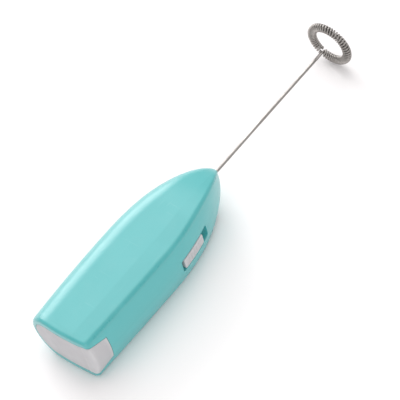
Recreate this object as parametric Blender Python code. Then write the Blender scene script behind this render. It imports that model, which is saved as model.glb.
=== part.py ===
"""Battery milk frother: two-shell handle, end door, thumb slide, motor and coil whisk.

Metres, +Z up. The handle lies on its flat bottom, +Y points to the whisk, +X is the side
with the thumb slide. The long axis of the handle and whisk is x = 0, z = AXIS_Z.
"""
import math

import bpy
import bmesh
from mathutils import Vector

MM = 0.001

# Handle
HANDLE_LEN = 104.0 * MM      # butt rim to nose tip
HALF_W_LEFT = 19.1 * MM      # axis to the rounded left side
HALF_W_EDGE = 16.3 * MM      # axis to the right edge of the top face
SIDE_BULGE = 2.8 * MM        # right side face stands out this much at mid height
HALF_T = 12.4 * MM           # half of the handle's thickness
NOSE_LEN = 52.0 * MM         # length over which the plan narrows
NOSE_LEN_T = 31.6 * MM       # length over which the thickness drops
EDGE_R = 2.2 * MM            # rounding of the right edges
BUTT_R = 1.4 * MM            # rounding of the rim at the butt
LIP_IN = 2.1 * MM            # mouth of the shells, in from the side
LIP_DROP = 0.8 * MM          # the mouth is this much lower again at its top and bottom
LIP_DEEP = 2.7 * MM          # the mouth's lip reaches this far in
BUTT_BOW = 1.6 * MM          # the butt end is bowed out this much
WALL = 1.7 * MM
PART_GAP = 0.10 * MM         # gap between the shells' rims
FIT_GAP = 0.20 * MM          # gap round the door, the tab and the slide

# Door
DOOR_T = 2.2 * MM
TAB_LEN = 9.5 * MM
TAB_HALF_TALL = 9.5 * MM     # tab half height at the butt
TAB_HALF_LOW = 6.8 * MM      # tab half height at its front end
DOOR_TRAVEL = 85.0 * MM

# Whisk
WHISK_REACH = 82.6 * MM      # nose tip to the ring's plane
WIRE_R = 0.65 * MM
RING_R = 9.7 * MM            # mid radius of the ring
COIL_R = 1.75 * MM           # mid radius of the coil's helix
COIL_WIRE_R = 0.45 * MM
COIL_TURNS = 48
CRANK_LEN = 10.5 * MM        # the shaft leaves the axis this far before the ring
CRANK_ANGLE = math.radians(237.3)   # rest direction of the crank, from +X towards +Z

# Slide
SLIDE_Y = 67.4 * MM          # middle of the recess, from the butt
SLIDE_Z = -1.0 * MM          # the slide sits this far below mid height
RECESS_LEN = 20.0 * MM
RECESS_H = 6.6 * MM
SLIDE_LEN = 15.0 * MM
SLIDE_H = 6.0 * MM
SLIDE_TRAVEL = 3.0 * MM

# Cells
CELL_R = 7.1 * MM
CELL_LEN = 49.2 * MM
CELL_X = 7.4 * MM
CELL_Y0 = 6.0 * MM

# Motor
MOTOR_Y0 = 63.5 * MM
MOTOR_LEN = 20.0 * MM
MOTOR_R = 9.9 * MM
MOTOR_FLAT = 7.6 * MM
SHAFT_R = 0.9 * MM

SCREWS = ((-13.3 * MM, 66.3 * MM, 8.4 * MM), (-7.1 * MM, 88.7 * MM, 7.4 * MM),
          (7.1 * MM, 88.7 * MM, 7.4 * MM))
BOSS_R = 1.9 * MM

AXIS_Z = HALF_T
BACK_REACH = 1.49 * MM       # furthest the bowed butt stands behind its rim
FRONT_REACH = 1.91 * MM      # coil in front of the ring plane
TOTAL = BACK_REACH + HANDLE_LEN + WHISK_REACH + FRONT_REACH
Y_BUTT = -TOTAL / 2 + BACK_REACH    # world y of the butt rim


def clear_scene():
    for ob in list(bpy.data.objects):
        bpy.data.objects.remove(ob, do_unlink=True)


def make_material(name, colour, rough, metal):
    mat = bpy.data.materials.new(name)
    mat.use_nodes = True
    bsdf = mat.node_tree.nodes["Principled BSDF"]
    bsdf.inputs["Base Color"].default_value = (*colour, 1.0)
    bsdf.inputs["Roughness"].default_value = rough
    bsdf.inputs["Metallic"].default_value = metal
    mat.diffuse_color = (*colour, 1.0)
    return mat


def new_object(name, bm, mat=None):
    bmesh.ops.recalc_face_normals(bm, faces=bm.faces)
    mesh = bpy.data.meshes.new(name)
    bm.to_mesh(mesh)
    bm.free()
    ob = bpy.data.objects.new(name, mesh)
    bpy.context.collection.objects.link(ob)
    if mat is not None:
        mesh.materials.append(mat)
    return ob


def boolean(target, cutter, kind, keep=False):
    mod = target.modifiers.new("cut", "BOOLEAN")
    mod.operation = kind
    mod.solver = "EXACT"
    mod.object = cutter
    cutter.hide_render = True
    cutter.display_type = "WIRE"
    bpy.context.view_layer.update()
    graph = bpy.context.evaluated_depsgraph_get()
    mesh = bpy.data.meshes.new_from_object(target.evaluated_get(graph))
    target.modifiers.clear()
    old = target.data
    mats = [m for m in old.materials if m is not None]
    target.data = mesh
    mesh.materials.clear()
    for m in mats[:1]:
        mesh.materials.append(m)
    bpy.data.meshes.remove(old)
    if not keep:
        bpy.data.objects.remove(cutter, do_unlink=True)
    return target


def tidy(ob):
    bm = bmesh.new()
    bm.from_mesh(ob.data)
    bmesh.ops.remove_doubles(bm, verts=bm.verts, dist=1e-6)
    bmesh.ops.recalc_face_normals(bm, faces=bm.faces)
    for f in bm.faces:
        f.material_index = 0
    bm.to_mesh(ob.data)
    bm.free()
    return ob


def copy_of(ob, name):
    new = bpy.data.objects.new(name, ob.data.copy())
    bpy.context.collection.objects.link(new)
    return new


def loft(rings, name, mat=None):
    """Closed solid through equal rings of points, capped at both ends."""
    bm = bmesh.new()
    rows = [[bm.verts.new(p) for p in ring] for ring in rings]
    n = len(rows[0])
    for a, b in zip(rows[:-1], rows[1:]):
        for i in range(n):
            j = (i + 1) % n
            bm.faces.new((a[i], a[j], b[j], b[i]))
    bm.faces.new(rows[0])
    bm.faces.new(list(reversed(rows[-1])))
    return new_object(name, bm, mat)


def box(name, lo, hi, mat=None, bevel=0.0):
    bm = bmesh.new()
    bmesh.ops.create_cube(bm, size=1.0)
    lo, hi = Vector(lo), Vector(hi)
    for v in bm.verts:
        v.co = Vector(((v.co.x + 0.5) * (hi.x - lo.x) + lo.x, (v.co.y + 0.5) * (hi.y - lo.y) + lo.y,
                       (v.co.z + 0.5) * (hi.z - lo.z) + lo.z))
    if bevel > 0:
        bmesh.ops.bevel(bm, geom=bm.edges[:], offset=bevel, segments=1, affect="EDGES")
    return new_object(name, bm, mat)


def lathe(name, profile, origin, axis, mat=None, sides=24):
    """Solid of revolution: profile is (distance along axis, radius), radii all above zero."""
    axis = Vector(axis).normalized()
    turn = Vector((0, 0, 1)).rotation_difference(axis).to_matrix()
    rings = []
    for d, r in profile:
        rings.append([turn @ Vector((r * math.cos(2 * math.pi * k / sides),
                                     r * math.sin(2 * math.pi * k / sides), d)) + Vector(origin)
                      for k in range(sides)])
    return loft(rings, name, mat)


def tube_shape(name, profile_out, profile_in, origin, axis, mat=None, sides=24):
    """Ring-like solid of revolution: outer profile, then back along the inner profile."""
    axis = Vector(axis).normalized()
    turn = Vector((0, 0, 1)).rotation_difference(axis).to_matrix()
    profile = list(profile_out) + list(reversed(profile_in))
    bm = bmesh.new()
    rows = []
    for d, r in profile:
        rows.append([bm.verts.new(turn @ Vector((r * math.cos(2 * math.pi * k / sides),
                                                 r * math.sin(2 * math.pi * k / sides), d))
                                  + Vector(origin)) for k in range(sides)])
    m = len(rows)
    for i in range(m):
        a, b = rows[i], rows[(i + 1) % m]
        for k in range(sides):
            j = (k + 1) % sides
            bm.faces.new((a[k], a[j], b[j], b[k]))
    return new_object(name, bm, mat)


def sweep(name, path, radius, sides, mat=None):
    """Round wire along a path of points, with flat ends."""
    pts = [Vector(p) for p in path]
    tangents = []
    for i in range(len(pts)):
        a = pts[max(i - 1, 0)]
        b = pts[min(i + 1, len(pts) - 1)]
        tangents.append((b - a).normalized())
    side = tangents[0].orthogonal().normalized()
    rings = []
    for i, (p, t) in enumerate(zip(pts, tangents)):
        if i:
            side = (tangents[i - 1].rotation_difference(t).to_matrix() @ side)
            side = (side - t * side.dot(t)).normalized()
        up = t.cross(side)
        rings.append([p + radius * (math.cos(2 * math.pi * k / sides) * side
                                    + math.sin(2 * math.pi * k / sides) * up) for k in range(sides)])
    return loft(rings, name, mat)


def plan_left(y):
    """Share of the full left half width at a distance y from the butt rim."""
    t = min(max((HANDLE_LEN - y) / NOSE_LEN, 0.0), 1.0)
    barrel = 1.0 - 0.10 * max(0.0, 1.0 - y / (50 * MM)) ** 2
    return (1.0 - (1.0 - t) ** 2.08) ** 0.62 * barrel


def plan_right(y):
    t = min(max((HANDLE_LEN - y) / NOSE_LEN, 0.0), 1.0)
    barrel = 1.0 - 0.032 * max(0.0, 1.0 - y / (50 * MM)) ** 2
    return (1.0 - (1.0 - t) ** 1.88) ** 0.692 * barrel


def thick_scale(y):
    t = min(max((HANDLE_LEN - y) / NOSE_LEN_T, 0.0), 1.0)
    return (1.0 - (1.0 - t) ** 1.48) ** 0.5


def bow(x, y):
    """How far the butt end is pushed back at x, fading out along the handle."""
    fade = max(0.0, 1.0 - max(y, 0.0) / (18 * MM)) ** 2
    return BUTT_BOW * (1.0 - (x / HALF_W_LEFT) ** 2) * fade


def section(y, inset, y_place=None, drop=0.0):
    """Closed ring of points round the handle at y, moved inwards by inset."""
    w, t = plan_right(y), thick_scale(y)
    left = max(HALF_W_LEFT * plan_left(y) - inset, 0.35 * MM)
    edge = max(HALF_W_EDGE * w - inset, 0.30 * MM)
    half = max(HALF_T * t - inset - drop, 0.30 * MM)
    bulge = SIDE_BULGE * t * t * min(1.0, w)
    arc = min(half, left * 0.95)
    r = min(max(EDGE_R * t - inset * 0.6, 0.5 * MM), half * 0.45, edge * 0.45)
    pts = []
    for k in range(5):                       # right side face, upper half
        z = (half - r) * k / 4
        pts.append((edge + bulge * (1 - (z / half) ** 2), z))
    x0 = edge + bulge * (1 - ((half - r) / half) ** 2)
    for k in range(1, 4):                    # rounded edge
        a = math.pi / 2 * k / 3
        pts.append((x0 - r + r * math.cos(a), half - r + r * math.sin(a)))
    pts.append((-(left - arc) + (x0 - r + left - arc) * 0.02, half))
    for k in range(1, 9):                    # round left side
        a = math.pi / 2 * k / 8
        pts.append((-(left - arc) - arc * math.sin(a), half * math.cos(a)))
    lower = [(x, -z) for x, z in reversed(pts[1:-1])]
    ring = pts + lower
    yy = y if y_place is None else y_place
    return [Vector((x, yy - bow(x, yy) + Y_BUTT, z + AXIS_Z)) for x, z in ring]


def outer_body(name):
    rings = []
    for k in range(5):                       # rounded rim at the butt
        a = math.pi / 2 * k / 4
        rings.append(section(0.0, BUTT_R * (1 - math.sin(a)), BUTT_R * (1 - math.cos(a))))
    for y in (8, 16, 26, 38, 50, 58, 64, 69, 74, 78, 82, 86, 89.5, 92.5, 95, 97.2, 99, 100.5,
              101.8, 102.8, 103.5, 103.88):
        rings.append(section(y * MM, 0.0))
    return loft(rings, name)


def inner_body(name, inset, y_from, y_to, y_list, drop=0.0, lip=False):
    rings = [section(0.0, inset, y_from, drop)]
    if lip:                                  # the narrower mouth, then a step to the hollow
        rings = [section(0.0, LIP_IN, y_from, LIP_DROP), section(LIP_DEEP, LIP_IN, None, LIP_DROP),
                 section(LIP_DEEP + 0.05 * MM, inset)]
    for y in y_list:
        if y_from < y * MM < y_to:
            rings.append(section(y * MM, inset, None, drop))
    rings.append(section(y_to, inset, None, drop))
    return loft(rings, name)


def tab_prism(name, gap):
    """Wedge-ended block that takes the door's tab out of the right side face."""
    x0, x1 = HALF_W_EDGE - 3.6 * MM, HALF_W_EDGE + 6 * MM
    y0, y1 = -4 * MM, TAB_LEN + gap
    slope = (TAB_HALF_LOW - TAB_HALF_TALL) / TAB_LEN
    h0 = TAB_HALF_TALL + slope * y0 + gap
    h1 = TAB_HALF_TALL + slope * y1 + gap
    ring = [(y0, -h0), (y1, -h1), (y1, h1), (y0, h0)]
    rings = [[Vector((x, y + Y_BUTT, z + AXIS_Z)) for y, z in ring] for x in (x0, x1)]
    return loft(rings, name)


def side_x(y):
    """x of the right side face at mid height."""
    w, t = plan_right(y), thick_scale(y)
    return HALF_W_EDGE * w + SIDE_BULGE * t * t * w


def build_shells(shell_mat, door_mat):
    stations = (4, 10, 18, 28, 40, 50, 58, 66, 74, 80, 85, 89, 92, 94.5)
    outer = outer_body("outer")
    cavity = inner_body("cavity", WALL, -6 * MM, 96.0 * MM, stations, 0.0, True)

    # door: end panel between the rims, and the tab round the right corner
    door = copy_of(outer, "battery_door")
    tab = tab_prism("tab", 0.0)
    hollow = inner_body("hollow", WALL, DOOR_T * 0.5, 40 * MM, stations)
    boolean(tab, hollow, "DIFFERENCE")
    panel = inner_body("panel", LIP_IN + FIT_GAP, -6 * MM, DOOR_T, (0.8,), LIP_DROP)
    boolean(tab, panel, "UNION")
    boolean(door, tab, "INTERSECT")
    door.data.materials.clear()
    door.data.materials.append(door_mat)

    # shell body before it is parted
    shell = outer
    boolean(shell, cavity, "DIFFERENCE")
    boolean(shell, tab_prism("tab_room", FIT_GAP), "DIFFERENCE")
    recess = box("recess", (12.6 * MM, Y_BUTT + SLIDE_Y - RECESS_LEN / 2, AXIS_Z + SLIDE_Z - RECESS_H / 2),
                 (24 * MM, Y_BUTT + SLIDE_Y + RECESS_LEN / 2, AXIS_Z + SLIDE_Z + RECESS_H / 2))
    boolean(shell, recess, "DIFFERENCE")
    bush_seat = lathe("bush_seat", [(0, 2.6 * MM), (4.4 * MM, 2.6 * MM)],
                      (0, Y_BUTT + 95.5 * MM, AXIS_Z), (0, 1, 0), sides=20)
    boolean(shell, bush_seat, "DIFFERENCE")
    bore = lathe("bore", [(0, 1.15 * MM), (14 * MM, 1.15 * MM)],
                 (0, Y_BUTT + 95 * MM, AXIS_Z), (0, 1, 0), sides=20)
    boolean(shell, bore, "DIFFERENCE")

    halves = []
    for name, sign in (("upper_shell", 1), ("lower_shell", -1)):
        half = copy_of(shell, name)
        for n, (sx, sy, reach) in enumerate(SCREWS):     # bosses for the screws
            a = AXIS_Z + sign * PART_GAP
            b = AXIS_Z + sign * (reach + 1.0 * MM)
            boss = lathe("boss", [(0, BOSS_R), (abs(b - a), BOSS_R)], (sx, sy + Y_BUTT, a),
                         (0, 0, sign), sides=16)
            limit = inner_body("limit", WALL * 0.5, 40 * MM, 97.0 * MM, stations)
            boolean(boss, limit, "INTERSECT")
            boolean(half, boss, "UNION")
        for y in (58.4, 61.9):                           # ribs that hold the bulkhead
            rib = box("rib", (-9 * MM, Y_BUTT + y * MM, AXIS_Z + sign * 9.27 * MM),
                      (11 * MM, Y_BUTT + (y + 0.8) * MM, AXIS_Z + sign * 13 * MM))
            limit = inner_body("limit", WALL * 0.43, 40 * MM, 97.0 * MM, stations)
            boolean(rib, limit, "INTERSECT")
            boolean(half, rib, "UNION")
        if sign > 0:
            keep_lo, keep_hi = AXIS_Z + PART_GAP / 2, 40 * MM
        else:
            keep_lo, keep_hi = -20 * MM, AXIS_Z - PART_GAP / 2
        keep = box("keep", (-40 * MM, Y_BUTT - 20 * MM, keep_lo),
                   (40 * MM, Y_BUTT + 130 * MM, keep_hi))
        boolean(half, keep, "INTERSECT")
        for sx, sy, reach in SCREWS:
            if sign > 0:
                hole = lathe("hole", [(-1 * MM, 1.15 * MM), (4.6 * MM, 1.15 * MM)],
                             (sx, sy + Y_BUTT, AXIS_Z), (0, 0, 1), sides=16)
            else:
                hole = lathe("hole", [(-1 * MM, 1.35 * MM), (3.4 * MM, 1.35 * MM),
                                      (3.4 * MM, 1.35 * MM), (14 * MM, 1.35 * MM)],
                             (sx, sy + Y_BUTT, AXIS_Z), (0, 0, -1), sides=16)
                well = lathe("well", [(4.6 * MM, BOSS_R - 0.45 * MM + 0.35 * MM),
                                      (14 * MM, BOSS_R - 0.45 * MM + 0.35 * MM)],
                             (sx, sy + Y_BUTT, AXIS_Z), (0, 0, -1), sides=16)
                boolean(half, well, "DIFFERENCE")
            boolean(half, hole, "DIFFERENCE")
        half.data.materials.clear()
        half.data.materials.append(shell_mat)
        tidy(half)
        halves.append(half)
    bpy.data.objects.remove(shell, do_unlink=True)
    tidy(door)
    return halves, door


def build_screws(mat):
    for n, (sx, sy, reach) in enumerate(SCREWS):
        names = ("screw_rear_left", "screw_front_left", "screw_front_right")
        profile = [(-4.0 * MM, 0.55 * MM), (-3.6 * MM, 0.85 * MM), (4.75 * MM, 0.85 * MM),
                   (4.8 * MM, 1.5 * MM), (5.7 * MM, 1.5 * MM), (6.1 * MM, 1.1 * MM)]
        screw = lathe(names[n], profile, (sx, sy + Y_BUTT, AXIS_Z), (0, 0, -1), mat, sides=16)
        for a, b in ((0.9, 0.18), (0.18, 0.9)):
            slot = box("slot", (sx - a * MM, sy + Y_BUTT - b * MM, AXIS_Z - 6.5 * MM),
                       (sx + a * MM, sy + Y_BUTT + b * MM, AXIS_Z - 5.6 * MM))
            boolean(screw, slot, "DIFFERENCE")
        tidy(screw)


def build_slide(grey, white, brass):
    """Button in the recess, carrier behind the wall, wiper, and the two fixed leaves."""
    rest = SLIDE_Y - RECESS_LEN / 2 + 1.2 * MM
    y0, y1 = Y_BUTT + rest, Y_BUTT + rest + SLIDE_LEN
    z, h = AXIS_Z + SLIDE_Z, SLIDE_H / 2
    rings = []
    for k in range(9):
        y = y0 + (y1 - y0) * k / 8
        f = side_x(y - Y_BUTT) + (0.2 * MM if 0 < k < 8 else -0.2 * MM)
        rings.append([Vector((12.95 * MM, y, z - h)), Vector((f - 0.4 * MM, y, z - h)),
                      Vector((f, y, z - h + 0.4 * MM)), Vector((f, y, z + h - 0.4 * MM)),
                      Vector((f - 0.4 * MM, y, z + h)), Vector((12.95 * MM, y, z + h))])
    button = loft(rings, "slide_button", grey)
    for k in range(5):
        y = y0 + (3.5 + 2.0 * k) * MM
        x = side_x(y - Y_BUTT) + 0.2 * MM
        groove = box("groove", (x - 0.35 * MM, y - 0.35 * MM, z - 2.2 * MM),
                     (x + 2 * MM, y + 0.35 * MM, z + 2.2 * MM))
        boolean(button, groove, "DIFFERENCE")
    tidy(button)
    yb, z = Y_BUTT, AXIS_Z
    box("switch_carrier", (11.4 * MM, yb + 62.4 * MM, z - 4.4 * MM),
        (12.7 * MM, yb + 71.4 * MM, z + 4.4 * MM), white, 0.25 * MM)
    box("switch_wiper", (10.3 * MM, yb + 63.0 * MM, z - 6.2 * MM),
        (10.6 * MM, yb + 73.5 * MM, z + 6.2 * MM), brass)
    box("switch_base", (3.6 * MM, yb + 84.9 * MM, z - 6.2 * MM),
        (9.2 * MM, yb + 86.1 * MM, z + 6.2 * MM), white)
    for name, lo in (("switch_leaf_upper", 4.9), ("switch_leaf_lower", -6.2)):
        box(name, (9.6 * MM, yb + 75.2 * MM, z + lo * MM),
            (9.85 * MM, yb + 84.6 * MM, z + (lo + 1.3) * MM), brass)


def build_door_contacts(steel):
    yb = Y_BUTT
    box("door_bridge_plate", (-12.4 * MM, yb + DOOR_T + 0.3 * MM, AXIS_Z - 4.5 * MM),
        (12.4 * MM, yb + DOOR_T + 0.6 * MM, AXIS_Z + 4.5 * MM), steel)
    coil_spring("door_spring", CELL_X, yb + DOOR_T + 1.1 * MM, yb + CELL_Y0 - 0.7 * MM, 3.6 * MM,
                2.4 * MM, 0.3 * MM, 2.6, steel)


def coil_spring(name, x, y0, y1, r0, r1, wire, turns, mat):
    steps = int(turns * 12)
    path = []
    for k in range(steps + 1):
        f = k / steps
        a = 2 * math.pi * turns * f
        r = r0 + (r1 - r0) * f
        path.append((x + r * math.cos(a), y0 + (y1 - y0) * f, AXIS_Z + r * math.sin(a)))
    return sweep(name, path, wire, 6, mat)


def build_cells(wrap, nickel):
    """Two round cells side by side, left one with its cap forwards."""
    for name, x, fwd in (("cell_left", -CELL_X, 1), ("cell_right", CELL_X, -1)):
        y0, y1 = CELL_Y0, CELL_Y0 + CELL_LEN
        a, b = (y0, y1) if fwd > 0 else (y1, y0)
        s = 1 if fwd > 0 else -1
        profile = [(0.0, 6.2 * MM), (0.3 * MM, 6.9 * MM), (0.7 * MM, CELL_R),
                   (CELL_LEN - 2.2 * MM, CELL_R), (CELL_LEN - 1.7 * MM, 6.8 * MM),
                   (CELL_LEN - 1.7 * MM, 3.1 * MM), (CELL_LEN - 1.5 * MM, 3.0 * MM)]
        lathe(name, profile, (x, Y_BUTT + a, AXIS_Z), (0, s, 0), wrap)
        cap = [(CELL_LEN - 1.2 * MM, 2.9 * MM), (CELL_LEN - 0.3 * MM, 2.8 * MM),
               (CELL_LEN, 2.5 * MM)]
        lathe(name + "_cap", cap, (x, Y_BUTT + a, AXIS_Z), (0, s, 0), nickel, 20)


def build_bulkhead(white, steel):
    yb = Y_BUTT
    wall = box("bulkhead", (-15.6 * MM, yb + 59.5 * MM, AXIS_Z - 9.2 * MM),
               (12.3 * MM, yb + 61.6 * MM, AXIS_Z + 9.2 * MM), white)
    shape = inner_body("bulk_limit", WALL + 0.35 * MM, 50 * MM, 70 * MM, (55, 60, 65))
    boolean(wall, shape, "INTERSECT")
    for x in (-11.6, 9.6):
        slot = box("slot", (x * MM, yb + 55 * MM, AXIS_Z + 4.0 * MM),
                   ((x + 2.0) * MM, yb + 65 * MM, AXIS_Z + 6.4 * MM))
        boolean(wall, slot, "DIFFERENCE")
    tidy(wall)
    box("front_plus_plate", (-CELL_X - 4.0 * MM, yb + 58.7 * MM, AXIS_Z - 4.0 * MM),
        (-CELL_X + 4.0 * MM, yb + 59.1 * MM, AXIS_Z + 4.0 * MM), steel)
    lathe("front_plus_stud", [(0, 2.2 * MM), (2.6 * MM, 2.0 * MM)],
          (-CELL_X, yb + 58.4 * MM, AXIS_Z), (0, -1, 0), steel, 16)
    box("front_minus_plate", (CELL_X - 4.4 * MM, yb + 58.7 * MM, AXIS_Z - 4.0 * MM),
        (CELL_X + 4.0 * MM, yb + 59.1 * MM, AXIS_Z + 4.0 * MM), steel)


def flat_ring(y, r, flat, sides):
    pts = []
    for k in range(sides):
        a = 2 * math.pi * (k + 0.5) / sides
        x, z = r * math.cos(a), r * math.sin(a)
        z = max(-flat, min(flat, z))
        pts.append(Vector((x, y, AXIS_Z + z)))
    return pts


def build_motor(steel, white, magnet, copper, brass):
    yb = Y_BUTT
    y0, y1 = yb + MOTOR_Y0, yb + MOTOR_Y0 + MOTOR_LEN
    can = loft([flat_ring(y0 + 1.6 * MM, MOTOR_R, MOTOR_FLAT, 32),
                flat_ring(y1 - 0.5 * MM, MOTOR_R, MOTOR_FLAT, 32),
                flat_ring(y1, MOTOR_R - 0.5 * MM, MOTOR_FLAT - 0.5 * MM, 32)], "motor_can", steel)
    nose = lathe("nose", [(-0.6 * MM, 3.0 * MM), (1.4 * MM, 3.0 * MM)], (0, y1, AXIS_Z),
                 (0, 1, 0), sides=20)
    boolean(can, nose, "UNION")
    room = loft([flat_ring(y0 - 2 * MM, MOTOR_R - 0.7 * MM, MOTOR_FLAT - 0.7 * MM, 32),
                 flat_ring(y1 - 0.9 * MM, MOTOR_R - 0.7 * MM, MOTOR_FLAT - 0.7 * MM, 32)], "room")
    boolean(can, room, "DIFFERENCE")
    hole = lathe("hole", [(-3 * MM, SHAFT_R + 0.25 * MM), (4 * MM, SHAFT_R + 0.25 * MM)],
                 (0, y1, AXIS_Z), (0, 1, 0), sides=16)
    boolean(can, hole, "DIFFERENCE")
    tidy(can)
    cap = loft([flat_ring(y0, MOTOR_R - 0.4 * MM, MOTOR_FLAT - 0.2 * MM, 32),
                flat_ring(y0 + 1.3 * MM, MOTOR_R, MOTOR_FLAT, 32)], "motor_end_cap", white)
    for x in (-7.0, 6.0):
        slot = box("slot", (x * MM, y0 - 1 * MM, AXIS_Z - 1.2 * MM),
                   ((x + 1.0) * MM, y0 + 3 * MM, AXIS_Z + 1.2 * MM))
        boolean(cap, slot, "DIFFERENCE")
    pivot = lathe("pivot", [(-0.1 * MM, SHAFT_R + 0.25 * MM), (4 * MM, SHAFT_R + 0.25 * MM)],
                  (0, y0 + 0.6 * MM, AXIS_Z), (0, 1, 0), sides=16)
    boolean(cap, pivot, "DIFFERENCE")
    tidy(cap)
    for name, x in (("motor_terminal_plus", -6.8), ("motor_terminal_minus", 6.2)):
        box(name, (x * MM, y0 - 1.3 * MM, AXIS_Z - 0.9 * MM),
            ((x + 0.6) * MM, y0 + 2.6 * MM, AXIS_Z + 0.9 * MM), brass)
    for name, s in (("magnet_left", -1), ("magnet_right", 1)):
        bm_rings = []
        for y in (y0 + 3.4 * MM, y1 - 2.0 * MM):
            ring = []
            for k in range(7):
                a = math.radians(-38 + 76 * k / 6)
                ring.append(Vector((s * 8.9 * MM * math.cos(a), y, AXIS_Z + 8.9 * MM * math.sin(a))))
            for k in reversed(range(7)):
                a = math.radians(-38 + 76 * k / 6)
                ring.append(Vector((s * 7.1 * MM * math.cos(a), y, AXIS_Z + 7.1 * MM * math.sin(a))))
            bm_rings.append(ring)
        loft(bm_rings, name, magnet)
    for name, s in (("brush_left", -1), ("brush_right", 1)):
        box(name, (min(s * 6.0, s * 2.4) * MM, y0 + 3.0 * MM, AXIS_Z - 0.7 * MM),
            (max(s * 6.0, s * 2.4) * MM, y0 + 3.3 * MM, AXIS_Z + 0.7 * MM), brass)
    # turning parts
    lathe("motor_shaft", [(0, SHAFT_R - 0.1 * MM), (0.2 * MM, SHAFT_R), (26.4 * MM, SHAFT_R)],
          (0, y0 + 1.0 * MM, AXIS_Z), (0, 1, 0), steel, 16)
    core_rings = []
    for y in (y0 + 6.4 * MM, y1 - 3.4 * MM):
        ring = []
        for k in range(36):
            a = 2 * math.pi * k / 36
            r = 6.3 * MM if (k % 12) < 9 else 3.4 * MM
            ring.append(Vector((r * math.cos(a), y, AXIS_Z + r * math.sin(a))))
        core_rings.append(ring)
    core = loft(core_rings, "rotor_core", copper)
    bore = lathe("bore", [(-2 * MM, SHAFT_R + 0.05 * MM), (20 * MM, SHAFT_R + 0.05 * MM)],
                 (0, y0 + 5 * MM, AXIS_Z), (0, 1, 0), sides=16)
    boolean(core, bore, "DIFFERENCE")
    tidy(core)
    tube_shape("commutator", [(0, 2.1 * MM), (3.0 * MM, 2.1 * MM)],
               [(0, SHAFT_R + 0.05 * MM), (3.0 * MM, SHAFT_R + 0.05 * MM)],
               (0, y0 + 2.9 * MM, AXIS_Z), (0, 1, 0), brass, 16)


def build_cradle(white):
    """Saddle under and over the motor, one block with the motor's outline cut out."""
    yb = Y_BUTT
    for name, sign in (("cradle_upper", 1), ("cradle_lower", -1)):
        z0 = AXIS_Z + sign * 5.2 * MM
        z1 = AXIS_Z + sign * 10.2 * MM
        lo, hi = min(z0, z1), max(z0, z1)
        saddle = box(name, (-6.5 * MM, yb + 68.0 * MM, lo), (6.5 * MM, yb + 79.0 * MM, hi), white)
        ring0 = flat_ring(yb + 60 * MM, MOTOR_R + 0.25 * MM, MOTOR_FLAT + 0.25 * MM, 32)
        ring1 = flat_ring(yb + 90 * MM, MOTOR_R + 0.25 * MM, MOTOR_FLAT + 0.25 * MM, 32)
        boolean(saddle, loft([ring0, ring1], "room"), "DIFFERENCE")
        limit = inner_body("limit", WALL + 0.3 * MM, 40 * MM, 90 * MM, (50, 58, 66, 74, 80, 85))
        boolean(saddle, limit, "INTERSECT")
        tidy(saddle)


def build_whisk(steel, brass_white, rubber):
    yb = Y_BUTT
    # sleeve that joins the motor shaft to the whisk wire
    tube_shape("coupling_sleeve", [(0, 1.7 * MM), (0.4 * MM, 2.1 * MM), (8.2 * MM, 2.1 * MM),
                                   (8.6 * MM, 1.7 * MM)],
               [(0, SHAFT_R + 0.05 * MM), (4.6 * MM, SHAFT_R + 0.05 * MM),
                (4.8 * MM, WIRE_R + 0.06 * MM), (8.6 * MM, WIRE_R + 0.06 * MM)],
               (0, yb + 86.2 * MM, AXIS_Z), (0, 1, 0), brass_white, 20)
    tube_shape("nose_bush", [(0, 2.3 * MM), (3.6 * MM, 2.3 * MM)],
               [(0, WIRE_R + 0.3 * MM), (3.6 * MM, WIRE_R + 0.3 * MM)],
               (0, yb + 95.9 * MM, AXIS_Z), (0, 1, 0), rubber, 20)
    ring_y = yb + HANDLE_LEN + WHISK_REACH
    start = yb + 91.2 * MM
    out = Vector((math.cos(CRANK_ANGLE), 0, math.sin(CRANK_ANGLE)))
    tang = Vector((-math.sin(CRANK_ANGLE), 0, math.cos(CRANK_ANGLE)))
    centre = Vector((0, ring_y, AXIS_Z))
    corners = [Vector((0, start, AXIS_Z)), Vector((0, ring_y - CRANK_LEN, AXIS_Z)),
               centre + out * RING_R]
    path = [corners[0]]
    bend = 2.2 * MM
    a, b, c = corners
    d1, d2 = (b - a).normalized(), (c - b).normalized()
    for k in range(5):                                   # bend away from the axis
        t = k / 4
        p = (b - d1 * bend) * (1 - t) ** 2 + b * 2 * t * (1 - t) + (b + d2 * bend) * t ** 2
        path.append(p)
    for k in range(6):                                   # turn into the ring
        t = k / 5
        p0 = c - d2 * bend
        p2 = centre + (out * math.cos(0.24) + tang * math.sin(0.24)) * RING_R
        path.append(p0 * (1 - t) ** 2 + c * 2 * t * (1 - t) + p2 * t ** 2)
    for k in range(1, 41):                               # round the ring
        ang = 0.24 + (2 * math.pi - 0.52) * k / 40
        path.append(centre + (out * math.cos(ang) + tang * math.sin(ang)) * RING_R)
    sweep("whisk_wire", path, WIRE_R, 8, steel)
    helix = []
    per = 6
    steps = COIL_TURNS * per
    first, last = 0.27, 2 * math.pi - 0.16
    for k in range(steps + 1):
        ang = first + (last - first) * k / steps
        turn = 2 * math.pi * k / per
        radial = out * math.cos(ang) + tang * math.sin(ang)
        r = RING_R + COIL_R * math.cos(turn)
        helix.append(centre + radial * r + Vector((0, COIL_R * math.sin(turn), 0)))
    sweep("whisk_coil", helix, COIL_WIRE_R, 5, steel)


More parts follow.
